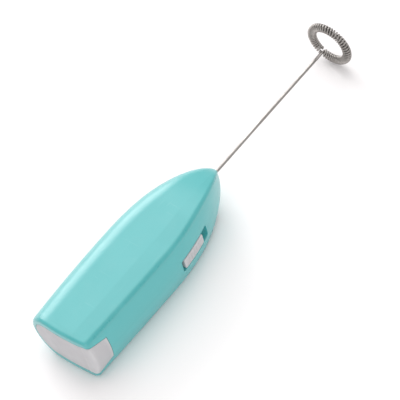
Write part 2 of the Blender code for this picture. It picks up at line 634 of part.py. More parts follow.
def build_wiring(red, black):
    """Insulated leads: cells to motor, cells to switch, switch to motor."""
    runs = (("lead_plus", red, ((-10.6, 59.4, 5.2), (-10.6, 61.9, 5.2), (-9.0, 62.3, 4.6),
                                (-7.4, 62.3, 2.4), (-6.9, 62.0, 1.5))),
            ("lead_minus", black, ((10.6, 59.4, 5.2), (10.6, 61.9, 5.4), (9.6, 62.9, 7.4),
                                   (8.2, 66.0, 8.9), (8.2, 79.0, 8.9), (9.2, 82.5, 7.4),
                                   (9.7, 84.2, 6.75))),
            ("lead_switch", red, ((9.7, 84.2, -6.75), (9.2, 82.5, -7.4), (8.2, 79.0, -8.9),
                                  (8.2, 66.0, -8.9), (8.0, 63.0, -6.0), (6.9, 62.3, -2.8),
                                  (6.6, 62.1, -1.5))))
    for name, mat, run in runs:
        sweep(name, [(x * MM, Y_BUTT + y * MM, AXIS_Z + h * MM) for x, y, h in run],
              0.4 * MM, 6, mat)


def main():
    clear_scene()
    shell = make_material("shell_plastic", (0.24, 0.66, 0.67), 0.35, 0.0)
    grey = make_material("grey_plastic", (0.58, 0.60, 0.62), 0.42, 0.0)
    white = make_material("inner_plastic", (0.82, 0.82, 0.80), 0.5, 0.0)
    steel = make_material("whisk_steel", (0.42, 0.41, 0.40), 0.28, 1.0)
    nickel = make_material("contact_nickel", (0.62, 0.60, 0.56), 0.3, 1.0)
    brass = make_material("contact_brass", (0.72, 0.52, 0.22), 0.35, 1.0)
    screw = make_material("screw_steel", (0.35, 0.35, 0.36), 0.35, 1.0)
    wrap = make_material("cell_wrap", (0.10, 0.11, 0.13), 0.4, 0.0)
    can = make_material("motor_steel", (0.55, 0.56, 0.57), 0.32, 1.0)
    magnet = make_material("magnet_ferrite", (0.09, 0.09, 0.10), 0.6, 0.0)
    copper = make_material("rotor_copper", (0.60, 0.28, 0.16), 0.4, 1.0)
    rubber = make_material("bush_rubber", (0.08, 0.08, 0.09), 0.7, 0.0)
    red = make_material("lead_red", (0.55, 0.05, 0.04), 0.45, 0.0)
    black = make_material("lead_black", (0.04, 0.04, 0.04), 0.45, 0.0)
    build_shells(shell, grey)
    build_screws(screw)
    build_slide(grey, white, brass)
    build_door_contacts(nickel)
    coil_spring("front_spring", CELL_X, Y_BUTT + 58.1 * MM, Y_BUTT + CELL_Y0 + CELL_LEN + 0.7 * MM,
                3.4 * MM, 2.2 * MM, 0.3 * MM, 1.6, nickel)
    build_cells(wrap, nickel)
    build_bulkhead(white, nickel)
    build_motor(can, white, magnet, copper, brass)
    build_cradle(white)
    build_whisk(steel, brass, rubber)
    build_wiring(red, black)


main()
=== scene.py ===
import math

import bmesh
import bpy
import numpy as np
from mathutils import Matrix, Vector


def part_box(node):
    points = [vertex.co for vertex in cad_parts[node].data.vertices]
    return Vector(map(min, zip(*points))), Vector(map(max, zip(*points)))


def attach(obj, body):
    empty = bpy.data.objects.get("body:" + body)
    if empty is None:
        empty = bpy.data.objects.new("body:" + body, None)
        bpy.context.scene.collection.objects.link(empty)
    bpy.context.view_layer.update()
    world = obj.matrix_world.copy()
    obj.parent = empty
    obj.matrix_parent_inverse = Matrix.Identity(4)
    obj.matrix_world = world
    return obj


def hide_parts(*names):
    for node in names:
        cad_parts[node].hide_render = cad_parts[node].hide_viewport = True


# Hand-held milk frother: turquoise two-part handle, grey battery door and thumb slide, coil whisk.
# Lengths in this file are millimetres until makeObject turns them into metres.

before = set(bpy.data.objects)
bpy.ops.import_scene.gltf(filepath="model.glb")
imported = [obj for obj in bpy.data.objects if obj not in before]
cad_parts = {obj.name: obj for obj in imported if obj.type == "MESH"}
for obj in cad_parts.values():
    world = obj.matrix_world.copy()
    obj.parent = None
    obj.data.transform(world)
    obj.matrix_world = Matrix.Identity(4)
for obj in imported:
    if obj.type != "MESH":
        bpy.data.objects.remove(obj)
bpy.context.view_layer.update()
mm = 0.001
print("stage: frame loaded,", len(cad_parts), "CAD nodes")

doorLow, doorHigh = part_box("battery_door")
shaftLow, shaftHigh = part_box("motor_shaft")
axisX = (shaftLow.x + shaftHigh.x) / 2 / mm     # the long axis runs along +Y through here
axisZ = (shaftLow.z + shaftHigh.z) / 2 / mm

handleForm = {
    "length": 104.0,          # butt rim to nose tip
    "halfLeft": 19.1,         # axis to the rounded left side
    "halfEdge": 16.3,         # axis to the right edge of the top
    "sideBulge": 2.75,        # how far the right side stands out at mid height
    "halfThick": 12.4,
    "noseLength": 52.0,       # plan narrows over this length
    "noseLengthThick": 31.6,  # thickness drops over this length
    "leftPowers": (2.08, 0.62), "rightPowers": (1.88, 0.692), "thickPowers": (1.48, 0.5),
    "barrelLength": 50.0,     # the sides draw in a little behind this place
    "leftBarrel": 0.10, "rightBarrel": 0.032,
    "edgeRound": 2.2,
    "faceHigh": 10.2,         # flat part of the side face, before the edge rounding
    "rimRound": 1.35,         # rounding of the rim at the butt
    "lipIn": 2.5,             # mouth, in from the side
    "lipDrop": 0.8,           # the mouth is this much lower again at top and bottom
    "lipDeep": 2.7,
    "buttBow": 1.49,          # the butt end is bowed out this much
    "bowFade": 18.0,          # and the bow fades out over this length
    "wall": 1.7,
    "partGap": 0.05,          # hairline between the two halves
    "innerEnd": 96.0,         # the hollow stops here, behind the nose
    "boreRadius": 1.15, "boreEnd": 106.0,
    "bushRadius": 2.6, "bushFrom": 94.5, "bushTo": 99.9,
}
slideForm = {
    "middle": 67.4, "level": -1.0, "halfLong": 10.15, "halfHigh": 3.35, "corner": 0.8,
    "depth": 2.6,             # floor of the recess below the side face
    "lip": 0.24,              # half width of the recess's rounded wall
    "backWall": 0.45,         # plastic left behind the recess floor
    "slotLow": (10.0, 62.7, -1.6), "slotHigh": (17.6, 72.3, 1.6),
    "stemLow": (12.95, 63.2, -1.25), "stemHigh": (17.2, 68.8, 1.25),
    "buttonStart": 58.6, "buttonLong": 15.0, "buttonHalfHigh": 2.95, "buttonCorner": 0.8,
    "proud": 0.18,            # button stands out of the side face
    "rim": 0.45,              # rounding round its top
    "ridges": 5, "ridgeStep": 2.0, "ridgeFirst": 3.5, "ridgeDeep": 0.30, "ridgeWide": 0.42,
    "ridgeHalfHigh": 2.45, "ridgeFade": 0.5,
}
doorForm = {
    "panelThick": 2.2, "fit": 0.20,
    "tabLong": 9.5, "tabTall": 9.15, "tabLow": 6.7,
    "tabFrom": -3.6, "tabTo": 6.0,    # across, from the right edge of the top
    "tabStart": -4.0,
}
buttY = doorLow.y / mm + handleForm["buttBow"]    # y of the butt rim
screwPlaces = ((-13.3, 66.3), (-7.1, 88.7), (7.1, 88.7))
wellForm = {
    "holeRadius": 1.3, "boreRadius": 1.85, "mouthRadius": 2.05, "outRadius": 2.55,
    "top": 3.2, "seat": 4.62,         # depths below the parting plane
    "cutFrom": 4.0, "cutTo": 13.4, "cutRadius": 1.95,
    "sunk": 0.25,                     # mouth stays this far inside the skin
}


def newGroup(name, ins, outs):
    # a shader group with named sockets; ins are (name, default), outs are names of values
    tree = bpy.data.node_groups.new(name, "ShaderNodeTree")
    for label, value in ins:
        sock = tree.interface.new_socket(name=label, in_out="INPUT", socket_type="NodeSocketFloat")
        sock.default_value = value
    for label in outs:
        tree.interface.new_socket(name=label, in_out="OUTPUT", socket_type="NodeSocketFloat")
    return tree, tree.nodes.new("NodeGroupInput"), tree.nodes.new("NodeGroupOutput")


def mathNode(tree, kind, a, b=None, clamp=False):
    node = tree.nodes.new("ShaderNodeMath")
    node.operation = kind
    node.use_clamp = clamp
    for i, value in enumerate((a, b)):
        if value is None:
            continue
        if isinstance(value, (int, float)):
            node.inputs[i].default_value = value
        else:
            tree.links.new(value, node.inputs[i])
    return node.outputs[0]


def scaled(tree, value, share, clamp=False):
    return mathNode(tree, "MULTIPLY", value, share, clamp)


def rampNode(tree, source, low, high, outLow=0.0, outHigh=1.0):
    # smooth step from one range to another
    node = tree.nodes.new("ShaderNodeMapRange")
    node.interpolation_type = "SMOOTHSTEP"
    tree.links.new(source, node.inputs["Value"])
    ends = (("From Min", low), ("From Max", high), ("To Min", outLow), ("To Max", outHigh))
    for label, value in ends:
        if isinstance(value, (int, float)):
            node.inputs[label].default_value = value
        else:
            tree.links.new(value, node.inputs[label])
    return node.outputs["Result"]


def noiseNode(tree, coords, scale, detail=3.0, stretch=None, rough=0.5):
    if stretch is not None:
        mapping = tree.nodes.new("ShaderNodeMapping")
        mapping.inputs["Scale"].default_value = stretch
        tree.links.new(coords, mapping.inputs["Vector"])
        coords = mapping.outputs["Vector"]
    node = tree.nodes.new("ShaderNodeTexNoise")
    tree.links.new(coords, node.inputs["Vector"])
    if isinstance(scale, (int, float)):
        node.inputs["Scale"].default_value = scale
    else:
        tree.links.new(scale, node.inputs["Scale"])
    node.inputs["Detail"].default_value = detail
    node.inputs["Roughness"].default_value = rough
    return node.outputs["Fac"]


def mouldedSkinGroup():
    # plastic from a spark-eroded mould: fine pebble height, slow colour drift, patchy gloss
    tree, gin, gout = newGroup("mouldedSkin", [("Grain Scale", 5000.0), ("Drift Scale", 45.0)],
                               ["Height", "Drift", "Gloss"])
    obj = tree.nodes.new("ShaderNodeTexCoord").outputs["Object"]
    fine = noiseNode(tree, obj, gin.outputs["Grain Scale"], 2.0)
    cells = tree.nodes.new("ShaderNodeTexVoronoi")
    cells.feature = "SMOOTH_F1"
    tree.links.new(obj, cells.inputs["Vector"])
    tree.links.new(scaled(tree, gin.outputs["Grain Scale"], 0.45), cells.inputs["Scale"])
    height = mathNode(tree, "ADD", scaled(tree, fine, 0.6), scaled(tree, cells.outputs["Distance"], 0.4))
    tree.links.new(height, gout.inputs["Height"])
    tree.links.new(noiseNode(tree, obj, gin.outputs["Drift Scale"], 4.0), gout.inputs["Drift"])
    tree.links.new(rampNode(tree, noiseNode(tree, obj, 210.0, 5.0), 0.35, 0.68), gout.inputs["Gloss"])
    return tree


def scuffMarksGroup():
    # short thin scratches in two directions, gathered where a slow noise is high
    tree, gin, gout = newGroup("scuffMarks", [("Scale", 700.0), ("Amount", 0.5)], ["Mask"])
    obj = tree.nodes.new("ShaderNodeTexCoord").outputs["Object"]
    scale = gin.outputs["Scale"]
    one = rampNode(tree, noiseNode(tree, obj, scale, 1.0, (1.0, 0.06, 1.0)), 0.66, 0.74)
    two = rampNode(tree, noiseNode(tree, obj, scale, 1.0, (0.08, 1.0, 0.9)), 0.67, 0.75)
    where = rampNode(tree, noiseNode(tree, obj, 60.0, 2.0), 0.42, 0.70)
    both = mathNode(tree, "MAXIMUM", one, two)
    mask = scaled(tree, scaled(tree, both, where), gin.outputs["Amount"], True)
    tree.links.new(mask, gout.inputs["Mask"])
    return tree


def dustFallGroup():
    # specks that lie on faces that look up
    tree, gin, gout = newGroup("dustFall", [("Speck Scale", 900.0), ("Amount", 0.5)], ["Mask"])
    obj = tree.nodes.new("ShaderNodeTexCoord").outputs["Object"]
    up = tree.nodes.new("ShaderNodeSeparateXYZ")
    tree.links.new(tree.nodes.new("ShaderNodeNewGeometry").outputs["Normal"], up.inputs[0])
    facing = rampNode(tree, up.outputs["Z"], 0.2, 0.95)
    specks = tree.nodes.new("ShaderNodeTexVoronoi")
    tree.links.new(obj, specks.inputs["Vector"])
    tree.links.new(gin.outputs["Speck Scale"], specks.inputs["Scale"])
    dots = rampNode(tree, specks.outputs["Distance"], 0.10, 0.05)
    film = rampNode(tree, noiseNode(tree, obj, 130.0, 5.0), 0.45, 0.8, 0.0, 0.5)
    sparse = rampNode(tree, noiseNode(tree, obj, 160.0, 2.0), 0.52, 0.62)
    spots = mathNode(tree, "ADD", scaled(tree, dots, sparse), film)
    mask = scaled(tree, scaled(tree, spots, facing), gin.outputs["Amount"], True)
    tree.links.new(mask, gout.inputs["Mask"])
    return tree


def drawnMetalGroup():
    # lines left by drawing or rolling along one way, with small pits
    tree, gin, gout = newGroup("drawnMetal", [("Line Scale", 2500.0), ("Pit Scale", 1800.0)],
                               ["Height", "Stain", "Lines"])
    obj = tree.nodes.new("ShaderNodeTexCoord").outputs["Object"]
    lines = noiseNode(tree, obj, gin.outputs["Line Scale"], 3.0, (1.0, 0.03, 1.0), 0.65)
    pits = tree.nodes.new("ShaderNodeTexVoronoi")
    tree.links.new(obj, pits.inputs["Vector"])
    tree.links.new(gin.outputs["Pit Scale"], pits.inputs["Scale"])
    pit = rampNode(tree, pits.outputs["Distance"], 0.05, 0.16)
    tree.links.new(mathNode(tree, "ADD", scaled(tree, lines, 0.7), scaled(tree, pit, 0.3)),
                   gout.inputs["Height"])
    tree.links.new(rampNode(tree, noiseNode(tree, obj, 240.0, 5.0), 0.42, 0.72), gout.inputs["Stain"])
    tree.links.new(lines, gout.inputs["Lines"])
    return tree


groups = {"skin": mouldedSkinGroup(), "scuff": scuffMarksGroup(), "dust": dustFallGroup(),
          "metal": drawnMetalGroup()}
print("stage: shader groups built")


def placeGroup(tree, key, **values):
    node = tree.nodes.new("ShaderNodeGroup")
    node.node_tree = groups[key]
    for label, value in values.items():
        node.inputs[label.replace("_", " ")].default_value = value
    return node


def mixColour(tree, fac, first, second, blend="MIX"):
    node = tree.nodes.new("ShaderNodeMix")
    node.data_type = "RGBA"
    node.blend_type = blend
    tree.links.new(fac, node.inputs["Factor"])
    for sock, value in ((node.inputs["A"], first), (node.inputs["B"], second)):
        if isinstance(value, tuple):
            sock.default_value = (*value, 1.0)
        else:
            tree.links.new(value, sock)
    return node.outputs["Result"]


def bumpNode(tree, height, strength, distance):
    node = tree.nodes.new("ShaderNodeBump")
    node.inputs["Strength"].default_value = strength
    node.inputs["Distance"].default_value = distance
    tree.links.new(height, node.inputs["Height"])
    return node.outputs["Normal"]


def startMaterial(look):
    mat = bpy.data.materials.new(look["finish"])
    mat.use_nodes = True
    tree = mat.node_tree
    shader = tree.nodes["Principled BSDF"]
    mat.diffuse_color = (*look["colour"], 1.0)
    return mat, tree, shader


def edgeWearAndShadeOf(tree):
    # the piece's edge attribute, 1 along its edges and 0 elsewhere: painted shade on the turquoise shell,
    # wear on the grey door and button
    node = tree.nodes.new("ShaderNodeAttribute")
    node.attribute_name = "edgeWearAndShade"
    return node.outputs["Fac"]


def plasticMaterial(look):
    # two colours by slow drift, then edge colour (painted shade on the shell, rubbed wear on the grey
    # parts), scuffs and dust on top; roughness and bump from the same masks
    mat, tree, shader = startMaterial(look)
    skin = placeGroup(tree, "skin", Grain_Scale=look["grain"], Drift_Scale=look["drift"])
    scuff = placeGroup(tree, "scuff", Scale=look["scuffScale"], Amount=look["scuff"]).outputs["Mask"]
    dust = placeGroup(tree, "dust", Speck_Scale=look["speck"], Amount=look["dust"]).outputs["Mask"]
    drift = skin.outputs["Drift"]
    base = mixColour(tree, rampNode(tree, drift, 0.30, 0.72), look["colour"], look["colourTwo"])
    wearAndShade = scaled(tree, edgeWearAndShadeOf(tree), rampNode(tree, drift, 0.35, 0.62), True)
    # edge colour: painted shade in darker teal along the shell's right edge, butt rim and recess lip; paler
    # rubbed wear on the grey parts
    base = mixColour(tree, scaled(tree, wearAndShade, look["edgeWearShadeShare"]), base, look["edgeWearShadeColour"])
    base = mixColour(tree, scaled(tree, scuff, look["scuffShare"]), base, look["scuffColour"])
    base = mixColour(tree, scaled(tree, dust, look["dustShare"]), base, look["dustColour"])
    tree.links.new(base, shader.inputs["Base Color"])
    roughest = look["rough"] + look["roughMore"]
    rough = rampNode(tree, skin.outputs["Gloss"], 0.0, 1.0, look["rough"], roughest)
    rough = mathNode(tree, "SUBTRACT", rough, scaled(tree, wearAndShade, look["edgePolish"]))
    rough = mathNode(tree, "ADD", rough, scaled(tree, scuff, look["scuffRough"]))
    rough = mathNode(tree, "ADD", rough, scaled(tree, dust, look["dustRough"]), True)
    tree.links.new(rough, shader.inputs["Roughness"])
    height = mathNode(tree, "SUBTRACT", skin.outputs["Height"], scaled(tree, scuff, look["scuffDeep"]))
    tree.links.new(bumpNode(tree, height, look["bump"], look["bumpDeep"]), shader.inputs["Normal"])
    shader.inputs["IOR"].default_value = look["ior"]
    shader.inputs["Coat Weight"].default_value = look["coat"]
    shader.inputs["Coat Roughness"].default_value = look["coatRough"]
    if look["glow"] > 0:                   # light carried a little way under the surface
        shader.inputs["Subsurface Weight"].default_value = look["glow"]
        shader.inputs["Subsurface Radius"].default_value = look["glowRadius"]
        shader.inputs["Subsurface Scale"].default_value = look["glowScale"]
    return mat


def metalMaterial(look):
    # two tones by the drawn lines, then stains and dust; roughness and bump from the same masks
    mat, tree, shader = startMaterial(look)
    metal = placeGroup(tree, "metal", Line_Scale=look["lines"], Pit_Scale=look["pits"])
    dust = placeGroup(tree, "dust", Speck_Scale=look["speck"], Amount=look["dust"]).outputs["Mask"]
    lines, stain = metal.outputs["Lines"], metal.outputs["Stain"]
    base = mixColour(tree, rampNode(tree, lines, 0.32, 0.68), look["colour"], look["colourTwo"])
    base = mixColour(tree, scaled(tree, stain, look["stainShare"]), base, look["stain"])
    base = mixColour(tree, scaled(tree, dust, look["dustShare"]), base, look["dustColour"])
    tree.links.new(base, shader.inputs["Base Color"])
    rough = rampNode(tree, lines, 0.25, 0.75, look["rough"], look["rough"] + look["roughMore"])
    rough = mathNode(tree, "ADD", rough, scaled(tree, stain, look["stainRough"]), True)
    tree.links.new(rough, shader.inputs["Roughness"])
    bump = bumpNode(tree, metal.outputs["Height"], look["bump"], look["bumpDeep"])
    tree.links.new(bump, shader.inputs["Normal"])
    shader.inputs["Metallic"].default_value = look["metallic"]
    return mat


plasticBase = {
    "colour": (0.5, 0.5, 0.5), "colourTwo": (0.5, 0.5, 0.5), "grain": 5200.0, "drift": 45.0,
    "scuffScale": 700.0, "scuff": 0.35, "scuffColour": (0.8, 0.8, 0.8), "scuffShare": 0.5,
    "scuffRough": 0.14, "scuffDeep": 0.8, "dust": 0.25, "speck": 900.0,
    "dustColour": (0.72, 0.71, 0.68), "dustShare": 0.5, "dustRough": 0.25,
    "edgeWearShadeShare": 0.35, "edgeWearShadeColour": (0.8, 0.8, 0.8), "edgePolish": 0.08,
    "rough": 0.34, "roughMore": 0.12, "bump": 0.25, "bumpDeep": 0.00006,
    "ior": 1.47, "coat": 0.0, "coatRough": 0.2,
    "glow": 0.0, "glowRadius": (1.0, 1.0, 1.0), "glowScale": 0.0012,
}
metalBase = {
    "colour": (0.6, 0.6, 0.6), "colourTwo": (0.5, 0.5, 0.5), "lines": 2500.0, "pits": 1800.0,
    "dust": 0.2, "speck": 1400.0, "dustColour": (0.55, 0.54, 0.52), "dustShare": 0.4,
    "stain": (0.2, 0.2, 0.2), "stainShare": 0.3, "stainRough": 0.12,
    "rough": 0.25, "roughMore": 0.14, "bump": 0.2, "bumpDeep": 0.00004, "metallic": 1.0,
}
plasticLooks = {
    "shell_plastic": {
        "finish": "turquoiseMoulding",
        "colour": (0.085, 0.445, 0.452), "colourTwo": (0.094, 0.460, 0.467),
        # the darker teal edge colour is painted shade along the right edge, the butt rim and the recess lip
        "scuffColour": (0.30, 0.66, 0.66), "edgeWearShadeColour": (0.058, 0.380, 0.388),
        "dustColour": (0.42, 0.60, 0.60), "dust": 0.10, "scuff": 0.25, "rough": 0.34,
        "roughMore": 0.05, "edgeWearShadeShare": 0.75, "coat": 0.50, "coatRough": 0.22,
        "glow": 0.05, "glowRadius": (0.5, 1.0, 1.0)},
    "grey_plastic": {
        "finish": "paleGreyMoulding",
        "colour": (0.480, 0.472, 0.490), "colourTwo": (0.510, 0.502, 0.518),
        "scuffColour": (0.70, 0.70, 0.71), "edgeWearShadeColour": (0.74, 0.74, 0.75),
        "rough": 0.42, "grain": 4200.0, "bump": 0.32, "dust": 0.15},
    "inner_plastic": {
        "finish": "naturalNylon",
        "colour": (0.70, 0.69, 0.65), "colourTwo": (0.76, 0.75, 0.71), "rough": 0.48},
    "cell_wrap": {
        "finish": "darkCellFilm",
        "colour": (0.030, 0.034, 0.042), "colourTwo": (0.045, 0.048, 0.056), "rough": 0.24,
        "scuffColour": (0.22, 0.22, 0.23), "edgeWearShadeColour": (0.25, 0.25, 0.25),
        "dustColour": (0.30, 0.30, 0.30), "bump": 0.10},
    "bush_rubber": {
        "finish": "blackBushRubber",
        "colour": (0.030, 0.030, 0.032), "colourTwo": (0.045, 0.045, 0.046), "rough": 0.62,
        "scuffColour": (0.12, 0.12, 0.12), "dustColour": (0.25, 0.25, 0.25), "ior": 1.5},
    "lead_red": {
        "finish": "redLeadSleeve",
        "colour": (0.50, 0.030, 0.025), "colourTwo": (0.58, 0.045, 0.035), "rough": 0.38,
        "scuffColour": (0.7, 0.25, 0.22)},
    "lead_black": {
        "finish": "blackLeadSleeve",
        "colour": (0.022, 0.022, 0.024), "colourTwo": (0.035, 0.035, 0.036), "rough": 0.38,
        "scuffColour": (0.15, 0.15, 0.15), "dustColour": (0.25, 0.25, 0.25)},
    "magnet_ferrite": {
        "finish": "firedFerrite",
        "colour": (0.055, 0.055, 0.060), "colourTwo": (0.085, 0.083, 0.082), "rough": 0.55,
        "grain": 3000.0, "bump": 0.5, "scuffColour": (0.2, 0.2, 0.2), "ior": 1.7},
}
metalLooks = {
    "whisk_steel": {
        "finish": "drawnWhiskSteel",
        "colour": (0.44, 0.415, 0.395), "colourTwo": (0.30, 0.28, 0.265), "rough": 0.26,
        "stain": (0.20, 0.19, 0.18)},
    "contact_nickel": {
        "finish": "platedContact",
        "colour": (0.66, 0.63, 0.58), "colourTwo": (0.56, 0.54, 0.50), "rough": 0.22},
    "contact_brass": {
        "finish": "stampedBrass",
        "colour": (0.74, 0.52, 0.22), "colourTwo": (0.64, 0.44, 0.18), "rough": 0.28,
        "stain": (0.36, 0.22, 0.10)},
    "screw_steel": {
        "finish": "darkScrewSteel",
        "colour": (0.40, 0.40, 0.41), "colourTwo": (0.30, 0.30, 0.31), "rough": 0.30,
        "stain": (0.16, 0.14, 0.12)},
    "motor_steel": {
        "finish": "motorCanSteel",
        "colour": (0.56, 0.57, 0.58), "colourTwo": (0.48, 0.49, 0.50), "rough": 0.30},
    "rotor_copper": {
        "finish": "woundCopper",
        "colour": (0.66, 0.28, 0.14), "colourTwo": (0.48, 0.18, 0.09), "rough": 0.34,
        "lines": 1400.0, "bump": 0.6},
}
materials = {}
for slotName, look in plasticLooks.items():
    materials[slotName] = plasticMaterial({**plasticBase, **look})
for slotName, look in metalLooks.items():
    materials[slotName] = metalMaterial({**metalBase, **look})
print("stage:", len(materials), "materials built")


def gridQuads(rows, cols, wrapCols=False, wrapRows=False, start=0):
    # quads of a rows x cols grid of points, numbered row by row
    r = np.arange(rows if wrapRows else rows - 1)
    c = np.arange(cols if wrapCols else cols - 1)
    r, c = np.meshgrid(r, c, indexing="ij")
    rn, cn = (r + 1) % rows, (c + 1) % cols
    quads = np.stack([r * cols + c, r * cols + cn, rn * cols + cn, rn * cols + c], -1)
    return quads.reshape(-1, 4) + start


def makeObject(name, points, faces, material=None, sharp=32.0):
    # mesh from points in millimetres and a list of face index lists, normals outward
    mesh = bpy.data.meshes.new(name)
    mesh.from_pydata((np.asarray(points, float).reshape(-1, 3) * mm).tolist(), [], faces)
    ob = bpy.data.objects.new(name, mesh)
    bpy.context.scene.collection.objects.link(ob)
    outward(mesh)
    if material is not None:
        mesh.materials.append(material)
    smoothShade(mesh, sharp)
    return ob


def outward(mesh):
    # merges doubled points and turns every face outward
    bm = bmesh.new()
    bm.from_mesh(mesh)
    bmesh.ops.remove_doubles(bm, verts=bm.verts, dist=2e-7)
    bmesh.ops.recalc_face_normals(bm, faces=bm.faces)
    bm.to_mesh(mesh)
    bm.free()


def smoothShade(mesh, sharp):
    mesh.polygons.foreach_set("use_smooth", np.ones(len(mesh.polygons), bool))
    mesh.set_sharp_from_angle(angle=math.radians(sharp))
    mesh.update()


def cut(target, cutter, kind="DIFFERENCE", sharp=32.0):
    # exact boolean, worked out now and kept as plain mesh
    mod = target.modifiers.new("cut", "BOOLEAN")
    mod.operation, mod.solver, mod.object = kind, "EXACT", cutter
    bpy.context.view_layer.update()
    mesh = bpy.data.meshes.new_from_object(target.evaluated_get(bpy.context.evaluated_depsgraph_get()))
    target.modifiers.clear()
    old, target.data = target.data, mesh
    mesh.name = target.name
    kept = [m for m in old.materials if m is not None][:1]
    bpy.data.meshes.remove(old)
    mesh.materials.clear()
    for m in kept:
        mesh.materials.append(m)
    mesh.polygons.foreach_set("material_index", np.zeros(len(mesh.polygons), np.int32))
    bpy.data.objects.remove(cutter, do_unlink=True)
    smoothShade(mesh, sharp)
    return target


def ringStack(rings, capStart=True, capEnd=True, start=0):
    # closed solid: rows of closed rings joined by quads, with flat end caps
    rings = np.asarray(rings, float)
    rows, cols = rings.shape[:2]
    faces = gridQuads(rows, cols, wrapCols=True, start=start).tolist()
    if capStart:
        faces.append([start + k for k in range(cols)][::-1])
    if capEnd:
        faces.append([start + (rows - 1) * cols + k for k in range(cols)])
    return rings.reshape(-1, 3), faces


def latheRings(profile, centre, direction, sides=48):
    # profile points (distance along, radius) turned about the direction through centre
    direction = np.asarray(direction, float)
    side = np.cross(direction, [0.3, 0.2, 1.0] if abs(direction[2]) < 0.9 else [1.0, 0.2, 0.1])
    side /= np.linalg.norm(side)
    up = np.cross(direction, side)
    profile = np.asarray(profile, float)
    a = np.linspace(0, 2 * np.pi, sides, endpoint=False)
    round3 = np.cos(a)[:, None] * side + np.sin(a)[:, None] * up
    return (np.asarray(centre, float) + profile[:, 0, None, None] * direction
            + profile[:, 1, None, None] * round3[None])


def roundedProfile(corners, radius, steps=5):
    # open polyline with each inner corner replaced by a short curve of about that radius
    out = [corners[0]]
    for a, b, c in zip(corners[:-2], corners[1:-1], corners[2:]):
        a, b, c = np.array(a, float), np.array(b, float), np.array(c, float)
        la, lc = np.linalg.norm(a - b), np.linalg.norm(c - b)
        cutBack = min(radius, la * 0.45, lc * 0.45)
        p, q = b + (a - b) / la * cutBack, b + (c - b) / lc * cutBack
        t = np.linspace(0, 1, steps)[:, None]
        out += (p * (1 - t) ** 2 + b * 2 * t * (1 - t) + q * t ** 2).tolist()
    out.append(corners[-1])
    return np.array(out, float)


def wireRings(path, radius, sides):
    # round wire: a circle carried along the path without twist
    path = np.asarray(path, float)
    ahead = np.vstack([path[1:], path[-1:]]) - np.vstack([path[:1], path[:-1]])
    ahead /= np.linalg.norm(ahead, axis=1, keepdims=True)
    side = np.zeros_like(path)
    first = np.cross(ahead[0], [0.31, 0.17, 0.94])
    side[0] = first / np.linalg.norm(first)
    for i in range(1, len(path)):          # carries the frame from one point to the next
        s = side[i - 1] - ahead[i] * (side[i - 1] @ ahead[i])
        side[i] = s / np.linalg.norm(s)
    up = np.cross(ahead, side)
    a = np.linspace(0, 2 * np.pi, sides, endpoint=False)
    radius = np.broadcast_to(np.asarray(radius, float), (len(path),))
    return (path[:, None] + radius[:, None, None]
            * (np.cos(a)[None, :, None] * side[:, None] + np.sin(a)[None, :, None] * up[:, None]))


def finishPiece(ob, body, slotName, *replaced):
    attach(ob, body)
    if replaced:
        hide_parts(*replaced)
    return ob


def setEdgeWearAndShade(ob, edgeMaskFunction):
    # writes the edge attribute, painted shade on the shell and wear on the grey parts, from each point's
    # place on the handle
    co = np.empty(len(ob.data.vertices) * 3, np.float32)
    ob.data.vertices.foreach_get("co", co)
    co = co.reshape(-1, 3) / mm
    value = np.clip(edgeMaskFunction(co[:, 0] - axisX, co[:, 1] - buttY, co[:, 2] - axisZ), 0, 1)
    att = ob.data.attributes.new("edgeWearAndShade", "FLOAT", "POINT")
    att.data.foreach_set("value", value.astype(np.float32))


def noseCurve(y, length, powers):
    # 1 behind the nose and 0 at its tip: 1 - (1 - t)^a, raised to b, with t running back from the tip
    t = np.clip((handleForm["length"] - y) / length, 0, 1)
    return (1 - (1 - t) ** powers[0]) ** powers[1]


def barrel(y, share):
    # a parabola that draws the side in towards the butt
    return 1 - share * np.maximum(0, 1 - y / handleForm["barrelLength"]) ** 2


def planLeft(y):
    # share of the full half width on the left
    f = handleForm
    return noseCurve(y, f["noseLength"], f["leftPowers"]) * barrel(y, f["leftBarrel"])


def planRight(y):
    # share of the full half width on the right
    f = handleForm
    return noseCurve(y, f["noseLength"], f["rightPowers"]) * barrel(y, f["rightBarrel"])


def thickShare(y):
    # share of the full thickness
    return noseCurve(y, handleForm["noseLengthThick"], handleForm["thickPowers"])


def faceX(y, z):
    # x of the right side face at height z from the parting plane: edge width plus a parabola over the height
    w, t = planRight(y), thickShare(y)
    bulge = handleForm["sideBulge"] * t * t * w
    return handleForm["halfEdge"] * w + bulge * (1 - (z / (handleForm["halfThick"] * t)) ** 2)


def bottomAt(x, y):
    # how far the underside lies below the parting plane at a place in plan
    half = handleForm["halfThick"] * thickShare(y)
    left = handleForm["halfLeft"] * planLeft(y)
    arc = min(half, left * 0.95)
    out = min(max((-x - (left - arc)) / arc, 0.0), 1.0)
    return float(half * math.sqrt(1 - out * out))


def bowAt(x, y):
    # a parabola across the butt, fading forward
    fade = np.maximum(0, 1 - np.maximum(y, 0) / handleForm["bowFade"]) ** 2
    return handleForm["buttBow"] * (1 - (x / handleForm["halfLeft"]) ** 2) * fade


def recessDepth(y, z, grow, depth):
    # signed distance to a rounded rectangle, turned into a soft-walled pocket
    hy, hz = slideForm["halfLong"] + grow, slideForm["halfHigh"] + grow
    rc = slideForm["corner"] + grow * 0.5
    qy, qz = np.abs(y - slideForm["middle"]) - hy + rc, np.abs(z - slideForm["level"]) - hz + rc
    d = np.hypot(np.maximum(qy, 0), np.maximum(qz, 0)) + np.minimum(np.maximum(qy, qz), 0) - rc
    s = np.clip((slideForm["lip"] - d) / (2 * slideForm["lip"]), 0, 1)
    return depth * s * s * (3 - 2 * s)


def faceStops(sign):
    # heights on the side face as shares, close together where that half meets the recess wall
    wallAt = slideForm["halfHigh"] + sign * slideForm["level"]
    high = handleForm["faceHigh"]
    return np.concatenate([np.linspace(0, wallAt - 0.6, 8), np.linspace(wallAt - 0.45, wallAt + 0.45, 12),
                           np.linspace(wallAt + 0.8, high, 11)]) / high


